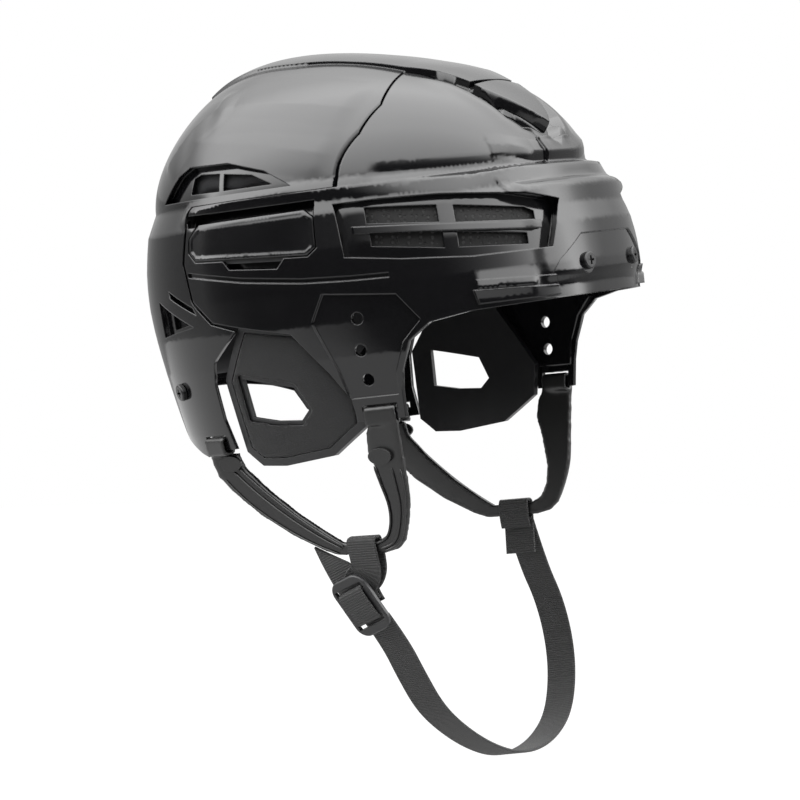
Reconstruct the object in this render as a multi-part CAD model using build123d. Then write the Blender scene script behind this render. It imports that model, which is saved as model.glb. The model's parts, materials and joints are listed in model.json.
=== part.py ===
from build123d import *
from math import cos, radians, sin
import os

# Ice hockey helmet, millimetres, +Z up, -Y is the front and +X is the wearer's left.
# Everything is modelled in the belt frame, whose level zero is the belt ridge, and
# the finished pieces are tilted and lifted once, into the frame of the helmet.
BELT_TILT = 8.0
BELT_HEIGHT = 35.0

# Outer skin: half width, front reach and back reach at each level of the belt frame
CENTRE_BACK = 15.0
CROWN_HEIGHT = 74.3
CROWN_WIDTH = 104.0
CROWN_FRONT = 126.4
CROWN_BACK = 102.8
CROWN_DRIFT = 20.8
CROWN_POWER = 1.86
DRIFT_POWER = 3.53
FRONT_POWER = 2.35
BACK_POWER = 2.2
FRONT_FULL_SHARE = 0.652
BACK_FULL_SHARE = 0.613
CROWN_ANGLES = (90, 72, 52, 33, 17, 7)
BAND_DROP = 140.0
BAND_WIDTH = 108.5
BAND_FRONT = 150.0
BAND_BACK = 114.0
BAND_LEVEL_SHARES = (0.085, 0.214, 0.357, 0.479, 0.607, 0.843, 1)
BAND_WIDTH_SHARES = (0.995, 1, 0.995, 0.986, 0.968, 0.917, 0.876)
BAND_FRONT_SHARES = (0.93, 0.98, 0.997, 1, 1, 1, 1)
BAND_BACK_SHARES = (0.956, 0.991, 1, 0.982, 0.952, 0.886, 0.816)

# Walls and clearances
WALL = 2.6
GAP = 0.4
SOFT_GAP = 0.3
SEAM_GAP = 1.6
OVERRUN = 200.0

# Size adjustment: the rear shell slides back, and its tongues clear the front shell
SIZE_TRAVEL = 10.0
CROWN_FALL_SHARE = 0.282
SIDE_FALL_SHARE = 0.3
BASE_WALL = 1.6
CROWN_TONGUE = WALL + GAP + SIZE_TRAVEL * CROWN_FALL_SHARE
SIDE_TONGUE = WALL + BASE_WALL + GAP + SIZE_TRAVEL * SIDE_FALL_SHARE
TONGUE_END = -26.0
TONGUE_HALF_WIDTH = 88.0
TONGUE_CLEARING = [(-30, -90), (30, -90), (30, -50), (-30, -50)]

# Crown seam, as seen from above on the left half: the rear shell ends in a centre tongue
SEAM = [(0, -80), (22, -78), (35, -46), (70, -51), (86, -46), (96, -38), (99.5, -36)]

# Front shell below the belt, as seen from the side
PART_LINE = [(50, 0), (54, -8), (59, -28), (56, -48), (53, -51), (44, -60), (27, -64)]
LEG_BACK = [(-3, -70), (-21, -92), (-30, -106), (-31, -118)]
LEG_FRONT = [(-56, -118), (-57, -104), (-59, -94), (-65, -80), (-76, -72), (-94, -69)]
BROW = [(-120, -68), (-134, -67.5), (-160, -67.5)]

# Rear shell below the belt, as seen from the side
EAR_BACK = [(30, -65.5), (48, -80), (51, -92), (50, -110), (46, -126)]
REAR_HEM = [
    (70, -126.8), (72, -129.5), (78, -127.5), (94, -120),
    (98.5, -115), (103.5, -104), (110, -99.5), (125, -92),
]

# Pocket and slots of the front vent, on a plane that faces the front corner
VENT_TURN = 44.0
VENT_POCKET = [
    (-46, -8), (-44, -35), (-18, -39), (16, -42), (58, -42),
    (66, -19), (35, -12), (4, -9), (-24, -8),
]
VENT_DEPTH = 5.0
VENT_SLOTS = [
    [(-31, -11.5), (3, -14.5), (3, -23), (-31, -19.5)],
    [(11, -15.5), (48, -20.5), (53, -23), (53, -27), (11, -24)],
    [(-30, -24), (4, -28), (4, -36), (-30, -31)],
    [(11, -29), (47, -33.5), (47, -39), (11, -36.5)],
]
VENT_BAR = [(-38, -20.5), (54, -28.5), (54, -32), (-38, -24)]
VENT_BAR_DEPTH = 1.6

# Temple leg: a shallow field with three open holes, and the slot of the chin sling
FIELD = [
    (-24, -52), (-16, -66), (-26, -92), (-29, -106), (-55, -106),
    (-56, -94), (-62, -80), (-72, -70), (-62, -56),
]
FIELD_DEPTH = 1.4
LEG_HOLES = [(-40, -66), (-39, -82), (-40, -97)]
LEG_HOLE = 6.2
STRAP_WIDTH = 17.0
STRAP_WALL = 1.6
STRAP_GAP = 0.8
BAR_HEIGHT = 5.0
LEG_BAR = (-43.5, -115.5)
REAR_BAR = (60.0, -124.0)

# Front panel and its two screws
PANEL = [(-52, -60), (-43, -49), (-26, -37), (26, -37), (43, -49), (52, -60), (52, -67.5), (-52, -67.5)]
PANEL_DEPTH = 0.9
SCREW_HALF_SPACING = 24.0
SCREW_LEVEL = -51.0
SCREW_SHANK = 4.6
SCREW_HEAD = 9.0
SCREW_HEAD_HEIGHT = 2.6
WASHER = 13.0
WASHER_HEIGHT = 1.2
NUT_FLANGE = 13.0
NUT_FLANGE_HEIGHT = 1.4
NUT_BARREL = 7.0
NUT_BARREL_HEIGHT = 4.0
FIT = 0.1
SEAT_GAP = 0.3

# Brow ledge and groove line
BROW_STEPS = [
    ([(16, -54), (58, -56), (60, -66), (17, -66)], 1.2),
    ([(14, -59), (59, -61), (60, -66), (16, -66)], 2.4),
]
GROOVE = [(57, -33), (21, -39), (-14, -43), (-40, -44.5), (-60, -45)]
GROOVE_WIDTH = 2.4
GROOVE_DEPTH = 1.1

# Quick-adjust lever in its window
LEVER = [(53.2, -16), (46, -9.4), (-19, -9), (-24, -13), (-24, -28), (-19, -31.5), (50, -27.5), (54, -23)]
LEVER_WALL = 2.2
LEVER_GAP = 0.8
NOTCH = [(34, -26), (28, -34), (-1, -36.5), (-8, -29)]
HINGE_LEVEL = -10.5
HINGE_DEPTH = 4.3
HINGE_RADIUS = 1.7
HINGE_SWEEP = 5.0
HINGE_ROOM = 5.8
HINGE_STARTS = (4.0, 27.0)
EAR_LENGTH = 5.0
PIN_RADIUS = 0.8
LUG = [(11, -21.6), (24, -22.4), (24, -25.2), (11, -24.4)]
LUG_DEPTH = 6.2

# Rear shell: upper vent, lower corner vent and screw
REAR_TURN = -40.0
UPPER_VENT = [(78, 4), (64, 17), (55, 21), (27, 20), (4, 13.5), (-12, 4)]
UPPER_DEPTH = 4.0
UPPER_SLOTS = [
    [(56, 7), (54, 15), (49, 16.5), (35, 15.5), (35, 6.5)],
    [(32, 6.5), (32, 15), (14, 12.5), (2, 6.5)],
]
CORNER_SLOT = [(2, -41), (21.5, -51), (23.5, -55), (3, -45)]
CORNER_POCKET = [(-11, -46), (19.5, -61), (-12.5, -65)]
CORNER_DEPTH = 3.0
CORNER_HOLE = [(-2.5, -51), (13, -59.6), (-3.5, -61.5)]
REAR_SCREW = (-6.6, -94.0)
TONGUE = [(-20, GAP + WALL), (66, GAP + WALL), (66, -30), (62, -50), (48, -56), (10, -52), (-20, -46)]

# Raised strip on the crown
STRIP_FRONT = [(-15, -112), (-23, -79), (23, -79), (15, -112)]
STRIP_BACK = [
    (0, -78), (22, -76), (33, -46), (36, 20), (30, 78),
    (-30, 78), (-36, 20), (-33, -46), (-22, -76),
]
STRIP_RISE = 1.8

# Ear guard: moulded frame with a window, a raised rim and a felt face
GUARD = [
    (29, -62), (-6, -68), (-33, -104), (-31.5, -121), (-11, -134),
    (18, -137), (33, -136), (42, -128), (46, -90), (37, -75),
]
GUARD_WINDOW = [(35, -90.3), (4.5, -97.3), (-1.7, -109.3), (3.8, -114.5), (18.6, -113.5), (33.4, -110.5)]
GUARD_WALL = 3.0
RIM_WIDTH = 4.0
RIM_HEIGHT = 1.4
GUARD_FACE = WALL + FIELD_DEPTH + SOFT_GAP + RIM_HEIGHT
PAD_WALL = 1.6

# Foam liners: low and high level, front and back of each
FOAM_WALL = 11.0
FOAM_FACE = VENT_DEPTH + WALL + SOFT_GAP
FOREHEAD_FOAM = (-60, -6, -OVERRUN, -52)
TEMPLE_FOAM = (-60, -8, -51, -24)
CROWN_FRONT_FOAM = (4, OVERRUN, -104, TONGUE_END)
CROWN_REAR_FOAM = (4, OVERRUN, -10, OVERRUN)
SIDE_FOAM = (-50, -6, -18, 58)
NAPE_FOAM = (-91, -6, 68, OVERRUN)
NAPE_HALF_SPACING = 30.0
OCCIPITAL_FOAM = (-91, -10, 0, OVERRUN)
OCCIPITAL_WIDTH = 54.0

# Chin sling in the side view of its own plane, which starts at the bar of the temple leg
SLING_TILT = 10.0
SLING_YAW = 3.8
SLING = [
    (-52, -119), (-50, -150), (-49, -160.6), (-45.7, -171), (-41.1, -181.3), (-36, -185.5), (-28, -187),
    (2, -187), (10.6, -184), (28.6, -174.5), (46.2, -162.3), (60, -149.5), (67.4, -140.5), (69.5, -132),
    (69, -128), (52, -129), (49.5, -137), (37.6, -150), (20.8, -164.7), (3.6, -177), (-2, -180.5),
    (-25, -180.5), (-31, -177.5), (-34.7, -170.3), (-35.6, -161), (-33.1, -144), (-30.5, -134),
    (-32, -124), (-35, -119),
]
SLING_SPLIT = [(90, -137), (30, -137), (30, -100), (90, -100)]
SLING_WALL = 3.2
RIB_INSET = 2.0
RIB_HEIGHT = 0.5
FRONT_BUTTON = (-39.0, -136.0)
REAR_BUTTON = (56.0, -133.5)
BUTTON_LENGTH = 14.0
BUTTON_WIDTH = 8.5
BUTTON_RISE = 1.6
CHIN_BAR = (-15.0, -183.75)
CHIN_BAR_HEIGHT = 6.5

# Chin webbing, in the frame of the helmet: from behind the buckle to the left sling
WEB_WIDTH = 18.0
WEB_WALL = 1.5
WEB_ROUTE = [
    (-64.6, -50.1, -195.4), (-54.5, -53.5, -213), (-41.5, -57.6, -232.8),
    (-20.2, -60.7, -248.5), (3, -63.1, -260.7), (25.5, -64.7, -268.5),
    (49.2, -65.2, -270.8), (72, -64.5, -267), (91.2, -62.4, -257.2),
    (102.7, -58.6, -238), (105.8, -54.4, -217.1), (101.7, -50, -195.2),
    (90.8, -46.1, -175.3),
]
WEB_ACROSS = (0, 0.981, -0.196)
WEB_TURN_SHARES = (0.35, 0.75)

# Slide buckle on the webbing, under the right sling
BUCKLE_PLACE = (-80.0, -38.5, -174.0)
BUCKLE_ACROSS = (0.195, 0.878, -0.437)
BUCKLE_OUT = (-0.932, 0.029, -0.357)
BUCKLE_WIDTH = 24.0
BUCKLE_LENGTH = 33.0
BUCKLE_WALL = 2.4
BUCKLE_CORNER = 7.0
BUCKLE_SLOT = 19.5
BUCKLE_BAR = 16.0
TAIL = [(12.5, 4), (14.3, -36), (-1.2, -24.3), (-4.5, -20), (-7, 4)]


SKINS = {}
PIECES = {}
QUARTER_TURN = 90.0


def belt(shape):
    """Put a shape of the belt frame into the frame of the helmet."""
    return Location((0, 0, BELT_HEIGHT), (-BELT_TILT, 0, 0)) * shape


def ring(level, half_width, front, back, centre):
    """Right half of a section of the skin at one level: two full quarters and the middle line."""
    side_point = Vector(-half_width, centre, level)
    fore, aft = Vector(0, centre - front, level), Vector(0, centre + back, level)
    quarters = []
    for end, reach, share in ((fore, -front, FRONT_FULL_SHARE), (aft, back, BACK_FULL_SHARE)):
        near = side_point + Vector(0, reach * share, 0)
        far = end + Vector(-half_width * share, 0, 0)
        quarters.append([side_point, near, far, end])
    middle = Edge.make_line(aft, fore)
    return Wire([Edge.make_bezier(*reversed(quarters[0])), Edge.make_bezier(*quarters[1]), middle])


def crown_ring(angle, inset):
    """Section of the crown at one angle from its top, drawn in by an inset."""
    rise = cos(radians(angle)) ** (2 / CROWN_POWER)
    reach = sin(radians(angle)) ** (2 / CROWN_POWER)
    return ring(
        (CROWN_HEIGHT - inset) * rise,
        (CROWN_WIDTH - inset) * reach,
        (CROWN_FRONT - inset) * reach,
        (CROWN_BACK - inset) * reach,
        CENTRE_BACK + CROWN_DRIFT * rise**DRIFT_POWER,
    )


def band_ring(index, inset):
    """Section of the band at one of its levels, drawn in by an inset."""
    return ring(
        -BAND_DROP * BAND_LEVEL_SHARES[index],
        BAND_WIDTH * BAND_WIDTH_SHARES[index] - inset,
        BAND_FRONT * BAND_FRONT_SHARES[index] - inset,
        BAND_BACK * BAND_BACK_SHARES[index] - inset,
        CENTRE_BACK,
    )


def skin(inset):
    """Solid inside the outer skin, drawn in by an inset: crown, shoulder and band."""
    if inset not in SKINS:
        crown = Solid.make_loft([crown_ring(angle, inset) for angle in CROWN_ANGLES])
        shoulder = Solid.make_loft([crown_ring(CROWN_ANGLES[0], inset), band_ring(0, inset)], ruled=True)
        band = Solid.make_loft([band_ring(index, inset) for index in range(len(BAND_LEVEL_SHARES))])
        SKINS[inset] = crown + shoulder + band
    return SKINS[inset]


def between(region, outer, inner):
    """The part of a region that lies between two insets of the skin."""
    return (region & skin(outer)) - skin(inner)


def prism(plane, points, amount=OVERRUN, both=False):
    """Straight solid over a closed outline on a plane."""
    return extrude(plane * make_face(Polyline(points, close=True)), amount=amount, both=both)


def grown(points, amount):
    """Outline moved outwards by an amount, with its corners kept sharp."""
    face = offset(make_face(Polyline(points, close=True)), amount=amount, kind=Kind.INTERSECTION)
    return [(v.X, v.Y) for v in [edge.position_at(0) for edge in face.wires()[0].edges()]]


def corner_plane(turn):
    """Upright plane through the centre that faces right, turned forwards by an angle."""
    angle = radians(turn)
    return Plane((0, 0, 0), x_dir=(sin(angle), -cos(angle), 0), z_dir=(-cos(angle), -sin(angle), 0))


def seam_line(gap):
    """Crown seam on both halves, drawn in and moved back by a gap, from left to right."""
    half = [(max(x - gap, 0), y + gap) for x, y in SEAM]
    half.append((OVERRUN, half[-1][1]))
    return list(reversed(half)) + [(-x, y) for x, y in half[1:]]


def both_sides(shape):
    """A shape of the right side and its mirror image."""
    return [shape, mirror(shape, Plane.YZ)]


def surface(origin, direction, inset):
    """Plane on the right half of the skin where a ray meets it, its z axis pointing out."""
    hits = skin(inset).find_intersection_points(Axis(origin, direction))
    point, normal = max(hits, key=lambda hit: (hit[0] - Vector(*origin)).dot(Vector(*direction)))
    normal = normal if normal.dot(Vector(*direction)) > 0 else -normal
    return Plane(point, x_dir=(normal.Y, -normal.X, 0), z_dir=normal)


def skin_frame(along, level, inset):
    """Plane on the right side: x back along the skin, y down, z out."""
    return surface((0, along, level), (-1, 0, 0), inset)


def band(low, high, front, back):
    """Block between two levels and two places along the helmet, as wide as the overrun."""
    return Pos(0, (front + back) / 2, (low + high) / 2) * Box(2 * OVERRUN, back - front, high - low)


def column(inner, outer):
    """Block on the right side between two distances from the middle."""
    return Pos(-(inner + outer) / 2, 0, 0) * Box(outer - inner, 2 * OVERRUN, 2 * OVERRUN)


def strip_outline(points, width):
    """Outline of a band of a width on the lower side of a line of points."""
    return points + [(a, b - width) for a, b in reversed(points)]


def top(points, low=0):
    """Upright solid over an outline seen from above, from a level up, right half."""
    return Pos(0, 0, low) * prism(Plane.XY, points) & column(0, OVERRUN)


def side(points):
    """Solid over an outline seen from the side, through the right half."""
    return prism(Plane.YZ, points, amount=-OVERRUN)


def built(zones):
    """Right half of a shell: each zone is a region with the insets of its two faces.

    A later zone takes its place from the ones before it.
    """
    solids = []
    taken = None
    for region, outer, inner in reversed(zones):
        free = region if taken is None else region - taken
        taken = region if taken is None else taken + region
        if outer is not None:
            solids += between(free, outer, inner).solids()
    return solids[0].fuse(*solids[1:])


def whole(half):
    """A half and its mirror image in one solid."""
    return half.fuse(mirror(half, Plane.YZ)).clean()


def front_shell():
    """Crown front, brow, side arms and temple legs, with the tongue under the rear shell."""
    vent = corner_plane(VENT_TURN)
    sides = PART_LINE + LEG_BACK + LEG_FRONT + BROW + [(-OVERRUN, BROW[-1][1]), (-OVERRUN, 0)]
    lip = top(seam_line(0) + list(reversed(seam_line(-WALL))))
    strip = top(STRIP_FRONT)
    under = top(seam_line(-WALL) + [(-OVERRUN, TONGUE_END), (OVERRUN, TONGUE_END)])
    under = (under & column(0, TONGUE_HALF_WIDTH)) - top(TONGUE_CLEARING)
    field = side(FIELD)
    holes = [leg_hole_place(point) * Cylinder(LEG_HOLE / 2, 4 * WALL) for point in LEG_HOLES]
    panel = prism(Plane.XZ, PANEL) & column(0, OVERRUN)
    start = LEVER[3][0] - LEVER_GAP
    sweep = band(HINGE_LEVEL, HINGE_LEVEL + HINGE_ROOM, start, LEVER[7][0])
    sweep += band(HINGE_LEVEL - HINGE_SWEEP, HINGE_LEVEL, start, 0)
    sweep = sweep & column(0, OVERRUN)
    open_places = [side(grown(LEVER, LEVER_GAP)), side(NOTCH), sweep, sling_slot(LEG_BAR)]
    open_places += holes + [front_screw_place() * Cylinder(SCREW_SHANK / 2 + FIT, 8 * WALL)]
    open_places += [prism(vent, slot) for slot in VENT_SLOTS]
    zones = [
        (top(seam_line(0) + [(-OVERRUN, -OVERRUN), (OVERRUN, -OVERRUN)]), 0, WALL),
        (side(sides), 0, WALL),
        (under, CROWN_TONGUE, CROWN_TONGUE + WALL),
        (strip, -STRIP_RISE, WALL),
        (lip, 0, CROWN_TONGUE + WALL),
        (lip & strip, -STRIP_RISE, CROWN_TONGUE + WALL),
        (panel, PANEL_DEPTH, PANEL_DEPTH + WALL),
        (side(strip_outline(GROOVE, GROOVE_WIDTH)), GROOVE_DEPTH, GROOVE_DEPTH + WALL),
        (field, FIELD_DEPTH, FIELD_DEPTH + WALL),
    ]
    zones += [(prism(vent, outline), -rise, WALL) for outline, rise in BROW_STEPS]
    zones += [
        (prism(vent, grown(VENT_POCKET, WALL)), 0, VENT_DEPTH + WALL),
        (prism(vent, VENT_POCKET), VENT_DEPTH, VENT_DEPTH + WALL),
    ]
    zones += [(place, None, None) for place in open_places]
    zones.append((prism(vent, VENT_BAR), VENT_BAR_DEPTH, VENT_DEPTH + WALL))
    return whole(built(zones))


def sling_slot(place):
    """Slot over the bar that the chin sling folds round, through the right side."""
    height = STRAP_WALL + 2 * STRAP_GAP
    above = Pos(0, -(BAR_HEIGHT + height) / 2, 0)
    slot = Box(STRAP_WIDTH + 2 * STRAP_GAP, height, 4 * WALL)
    return skin_frame(*place, WALL / 2).location * above * slot


def leg_hole_place(point):
    """Place in the middle of the temple leg's wall, its z axis pointing out of the leg."""
    return skin_frame(*point, FIELD_DEPTH + WALL / 2).location


def front_screw_place():
    """Place of the right front screw on its panel, its z axis pointing out of the shell."""
    return surface((-SCREW_HALF_SPACING, 0, SCREW_LEVEL), (0, -1, 0), PANEL_DEPTH).location


def rear_edge():
    """Front edge of the rear shell below the belt, a seam behind the side arm."""
    line = [(y + SEAM_GAP, z) for y, z in PART_LINE[:4]]
    line += [(y + SEAM_GAP, z - SEAM_GAP / 2) for y, z in PART_LINE[4:6]]
    line[0] = (line[0][0], GAP)
    return line


def size_track():
    """Tongue that slides under the right side arm, with the shelf and the wall that carry it."""
    line = rear_edge()
    inner = [(y + WALL, z) for y, z in reversed(line)]
    shelf = band(GAP, GAP + WALL, TONGUE[0][0], line[0][0] + WALL) & column(0, OVERRUN)
    return built([
        (side(TONGUE), SIDE_TONGUE, SIDE_TONGUE + WALL),
        (side(line + inner), WALL + FIT, SIDE_TONGUE + WALL),
        (shelf, UPPER_DEPTH + WALL + FIT, SIDE_TONGUE + WALL),
    ])


def rear_shell():
    """Crown back and nape, with the pockets of the rear vents."""
    sides = rear_edge() + EAR_BACK + REAR_HEM + [(OVERRUN, REAR_HEM[-1][1]), (OVERRUN, GAP)]
    rear = corner_plane(REAR_TURN)
    above = Pos(0, 0, GAP + OVERRUN / 2) * Box(2 * OVERRUN, 2 * OVERRUN, OVERRUN)
    zones = [
        (top(seam_line(SEAM_GAP) + [(-OVERRUN, OVERRUN), (OVERRUN, OVERRUN)], GAP), 0, WALL),
        (side(sides), 0, WALL),
        (top(STRIP_BACK), -STRIP_RISE, WALL),
        (side(grown(UPPER_VENT, WALL)) & above, 0, UPPER_DEPTH + WALL),
        (side(UPPER_VENT), UPPER_DEPTH, UPPER_DEPTH + WALL),
        (prism(rear, grown(CORNER_POCKET, WALL)), 0, CORNER_DEPTH + WALL),
        (prism(rear, CORNER_POCKET), CORNER_DEPTH, CORNER_DEPTH + WALL),
    ]
    open_places = [side(slot) for slot in UPPER_SLOTS]
    open_places += [prism(rear, CORNER_SLOT), prism(rear, CORNER_HOLE)]
    open_places += [sling_slot(REAR_BAR), rear_screw_place() * Cylinder(SCREW_SHANK / 2 + FIT, 8 * WALL)]
    zones += [(place, None, None) for place in open_places]
    return whole(built(zones))


def rear_screw_place():
    """Place of the right rear screw on the outside of the nape, its z axis pointing out."""
    plane = corner_plane(REAR_TURN)
    start = plane.x_dir * REAR_SCREW[0] + Vector(0, 0, REAR_SCREW[1])
    return surface(tuple(start), tuple(plane.z_dir), 0).location


def screw(place, washer):
    """Pan head screw with a cross recess, standing on the skin or on its washer."""
    stand = SEAT_GAP + (WASHER_HEIGHT if washer else 0)
    length = WALL + NUT_BARREL_HEIGHT + stand
    head = Pos(0, 0, stand + SCREW_HEAD_HEIGHT / 2) * Cylinder(SCREW_HEAD / 2, SCREW_HEAD_HEIGHT)
    head = fillet(head.edges().group_by(Axis.Z)[-1], SCREW_HEAD_HEIGHT / 3)
    shank = Pos(0, 0, stand - length / 2) * Cylinder(SCREW_SHANK / 2, length)
    recess = Box(SCREW_HEAD / 2, SCREW_SHANK / 4, SCREW_HEAD_HEIGHT)
    recess = Pos(0, 0, stand + SCREW_HEAD_HEIGHT) * (recess + Rot(0, 0, QUARTER_TURN) * recess)
    return place * (head + shank - recess)


def washer(place):
    """Flat washer with a bevelled rim, on the skin."""
    ring_solid = Pos(0, 0, SEAT_GAP + WASHER_HEIGHT / 2) * Cylinder(WASHER / 2, WASHER_HEIGHT)
    ring_solid = chamfer(ring_solid.edges().group_by(Axis.Z)[-1], WASHER_HEIGHT / 2)
    return place * (ring_solid - Cylinder(SCREW_SHANK / 2 + FIT, 4 * WASHER_HEIGHT))


def tee_nut(place):
    """Flanged nut behind the shell wall, round the shank of its screw."""
    depth = WALL + SEAT_GAP
    flange = Pos(0, 0, -depth - NUT_FLANGE_HEIGHT / 2) * Cylinder(NUT_FLANGE / 2, NUT_FLANGE_HEIGHT)
    barrel = Pos(0, 0, -depth - NUT_BARREL_HEIGHT / 2) * Cylinder(NUT_BARREL / 2, NUT_BARREL_HEIGHT)
    return place * (flange + barrel - Cylinder(SCREW_SHANK / 2 + FIT, 4 * (depth + NUT_BARREL_HEIGHT)))


def hinge_axis_x():
    """Place of the lever's hinge line across the helmet."""
    return skin_frame(HINGE_STARTS[1] + EAR_LENGTH, HINGE_LEVEL, 0).origin.X + HINGE_DEPTH


def hinge_rod(start, length, radius):
    """Round rod along the hinge line."""
    place = Pos(hinge_axis_x(), start + length / 2, HINGE_LEVEL) * Rot(QUARTER_TURN, 0, 0)
    return place * Cylinder(radius, length)


def lever():
    """Lever plate that follows the skin, with a hinge barrel and a latch lug inside."""
    start = HINGE_STARTS[0] + EAR_LENGTH + GAP
    length = HINGE_STARTS[1] - GAP - start
    web = band(HINGE_LEVEL - HINGE_RADIUS, HINGE_LEVEL, start, start + length)
    web = between(web & column(-hinge_axis_x(), OVERRUN), LEVER_WALL / 2, OVERRUN / 2)
    lug = between(side(LUG), LEVER_WALL / 2, LUG_DEPTH)
    plate = between(side(LEVER), 0, LEVER_WALL)
    bore = hinge_rod(start - EAR_LENGTH, 3 * length, PIN_RADIUS + FIT)
    return plate + web + lug + hinge_rod(start, length, HINGE_RADIUS) - bore


def lever_base():
    """Plate behind the lever's window, with two ears that hold the hinge pin."""
    low = HINGE_LEVEL - HINGE_SWEEP
    foot = low - HINGE_SWEEP
    plate = between(side(grown(LEVER, 3 * LEVER_GAP)), WALL, WALL + BASE_WALL)
    plate = plate - band(low, OVERRUN, -OVERRUN, OVERRUN) - side(grown(LUG, 2 * LEVER_GAP))
    axis = hinge_axis_x()
    ears = []
    for start in HINGE_STARTS:
        middle = start + EAR_LENGTH / 2
        arm = Box(HINGE_RADIUS, EAR_LENGTH, HINGE_LEVEL - foot)
        arm = Pos(axis + HINGE_RADIUS / 2, middle, (HINGE_LEVEL + foot) / 2) * arm
        ears.append(arm & between(column(0, OVERRUN), 0, SIDE_TONGUE - 3 * GAP))
        ears.append(hinge_rod(start, EAR_LENGTH, HINGE_RADIUS))
        block = Pos(axis, middle, (low + foot) / 2) * Box(2 * HINGE_RADIUS, EAR_LENGTH, low - foot)
        ears.append(between(block, WALL, SIDE_TONGUE - 3 * GAP))
    return plate.fuse(*ears) - hinge_rod(0, OVERRUN, PIN_RADIUS)


def lever_pin():
    """Hinge pin through the two ears and the barrel between them."""
    return hinge_rod(HINGE_STARTS[0], HINGE_STARTS[1] + EAR_LENGTH - HINGE_STARTS[0], PIN_RADIUS)


def ear_guard():
    """Moulded frame inside the ear opening, with a window and a raised rim."""
    frame = between(side(GUARD), GUARD_FACE, GUARD_FACE + GUARD_WALL)
    rim = side(GUARD) - side(grown(GUARD, -RIM_WIDTH))
    rim = between(rim, GUARD_FACE - RIM_HEIGHT, GUARD_FACE)
    return frame + rim - side(GUARD_WINDOW)


def ear_pad():
    """Felt face of the ear guard, inside its rim and round its window."""
    region = side(grown(GUARD, -RIM_WIDTH - SOFT_GAP)) - side(grown(GUARD_WINDOW, RIM_WIDTH / 2))
    return between(region, GUARD_FACE - SOFT_GAP - PAD_WALL, GUARD_FACE - SOFT_GAP)


def vent_mesh():
    """Perforated foam behind the slots of the front vent."""
    region = prism(corner_plane(VENT_TURN), grown(VENT_POCKET, -WALL))
    return between(region, FOAM_FACE - SOFT_GAP / 2, FOAM_FACE + WALL)


def foam(block, face):
    """Foam liner that follows the skin inside a block, from one depth on."""
    return between(block, face, face + FOAM_WALL)


def middle_foams():
    """Foam liners that cross the middle, by name."""
    front_face = FOAM_FACE + WALL + SOFT_GAP
    crown = band(*CROWN_FRONT_FOAM) & Box(2 * TONGUE_HALF_WIDTH, 2 * OVERRUN, 2 * OVERRUN)
    nape = band(*OCCIPITAL_FOAM) & Box(OCCIPITAL_WIDTH, 2 * OVERRUN, 2 * OVERRUN)
    return {
        "forehead_foam": whole(foam(band(*FOREHEAD_FOAM), front_face)),
        "crown_front_foam": whole(foam(crown, CROWN_TONGUE + WALL + SOFT_GAP)),
        "crown_rear_foam": whole(foam(band(*CROWN_REAR_FOAM), UPPER_DEPTH + WALL + SOFT_GAP)),
        "occipital_foam": whole(foam(nape, WALL + SOFT_GAP)),
    }


def side_foams():
    """Foam liners of the right side, by name."""
    front_face = FOAM_FACE + WALL + SOFT_GAP
    right = column(0, OVERRUN)
    nut_room = Cylinder(NUT_FLANGE / 2 + SOFT_GAP, 4 * (WALL + NUT_BARREL_HEIGHT))
    nape = foam(band(*NAPE_FOAM) & column(NAPE_HALF_SPACING, OVERRUN), CORNER_DEPTH + WALL + SOFT_GAP)
    return {
        "temple_foam": foam(band(*TEMPLE_FOAM) & right, front_face),
        "side_foam": foam(band(*SIDE_FOAM) & right, SIDE_TONGUE + WALL + SOFT_GAP),
        "rear_foam": nape - rear_screw_place() * nut_room,
    }


def sling_plane():
    """Plane of the right chin sling: x back, y up, z to the left, from the front bar."""
    tilt, yaw = radians(SLING_TILT), radians(SLING_YAW)
    along = (sin(yaw), cos(yaw), 0)
    left = (cos(yaw) * cos(tilt), -sin(yaw) * cos(tilt), sin(tilt))
    return Plane(skin_frame(*LEG_BAR, WALL / 2).origin, x_dir=along, z_dir=left)


def sling_place(point, height=0):
    """Place on the sling's plane, with the plane's directions."""
    return sling_plane().location * Pos(point[0] - LEG_BAR[0], point[1] - LEG_BAR[1], height)


def sling_prism(points, low, high):
    """Straight solid over an outline of the sling's plane, between two heights from it."""
    face = make_face(Polyline(points, close=True))
    return sling_place((0, 0), low) * extrude(face, amount=high - low)


def loop_round(place, length, height, width, wall, gap):
    """Band of webbing or rubber round a bar, with its corners rounded."""
    outer = Box(length, height + 2 * gap + 2 * wall, width + 2 * gap + 2 * wall)
    outer = fillet(outer.edges().filter_by(Axis.X), wall)
    return place * (outer - Box(2 * length, height + 2 * gap, width + 2 * gap))


def sling_fold(bar):
    """Loop of the sling round a bar of the shell."""
    place = skin_frame(*bar, WALL / 2).location
    return loop_round(place, STRAP_WIDTH, BAR_HEIGHT, WALL, STRAP_WALL, STRAP_GAP)


def sling():
    """Front and rear part of the right sling: moulded V with a rib, folded round two bars."""
    plate = sling_prism(SLING, -SLING_WALL / 2, SLING_WALL / 2)
    rib = sling_prism(grown(SLING, -RIB_INSET), -SLING_WALL / 2 - RIB_HEIGHT, 0)
    split = [(y, z - SOFT_GAP) for y, z in SLING_SPLIT]
    front = plate + rib - sling_prism(split, -OVERRUN / 4, OVERRUN / 4)
    rear = (plate + rib) & sling_prism(SLING_SPLIT, -OVERRUN / 4, OVERRUN / 4)
    return front + sling_fold(LEG_BAR), rear + sling_fold(REAR_BAR)


def button(point):
    """Oval press button on the outside of the right sling."""
    rise = SLING_WALL / 2 + RIB_HEIGHT + SOFT_GAP + BUTTON_RISE
    oval = Ellipse(BUTTON_LENGTH / 2, BUTTON_WIDTH / 2)
    return sling_place(point, -rise) * extrude(oval, amount=BUTTON_RISE)


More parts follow.
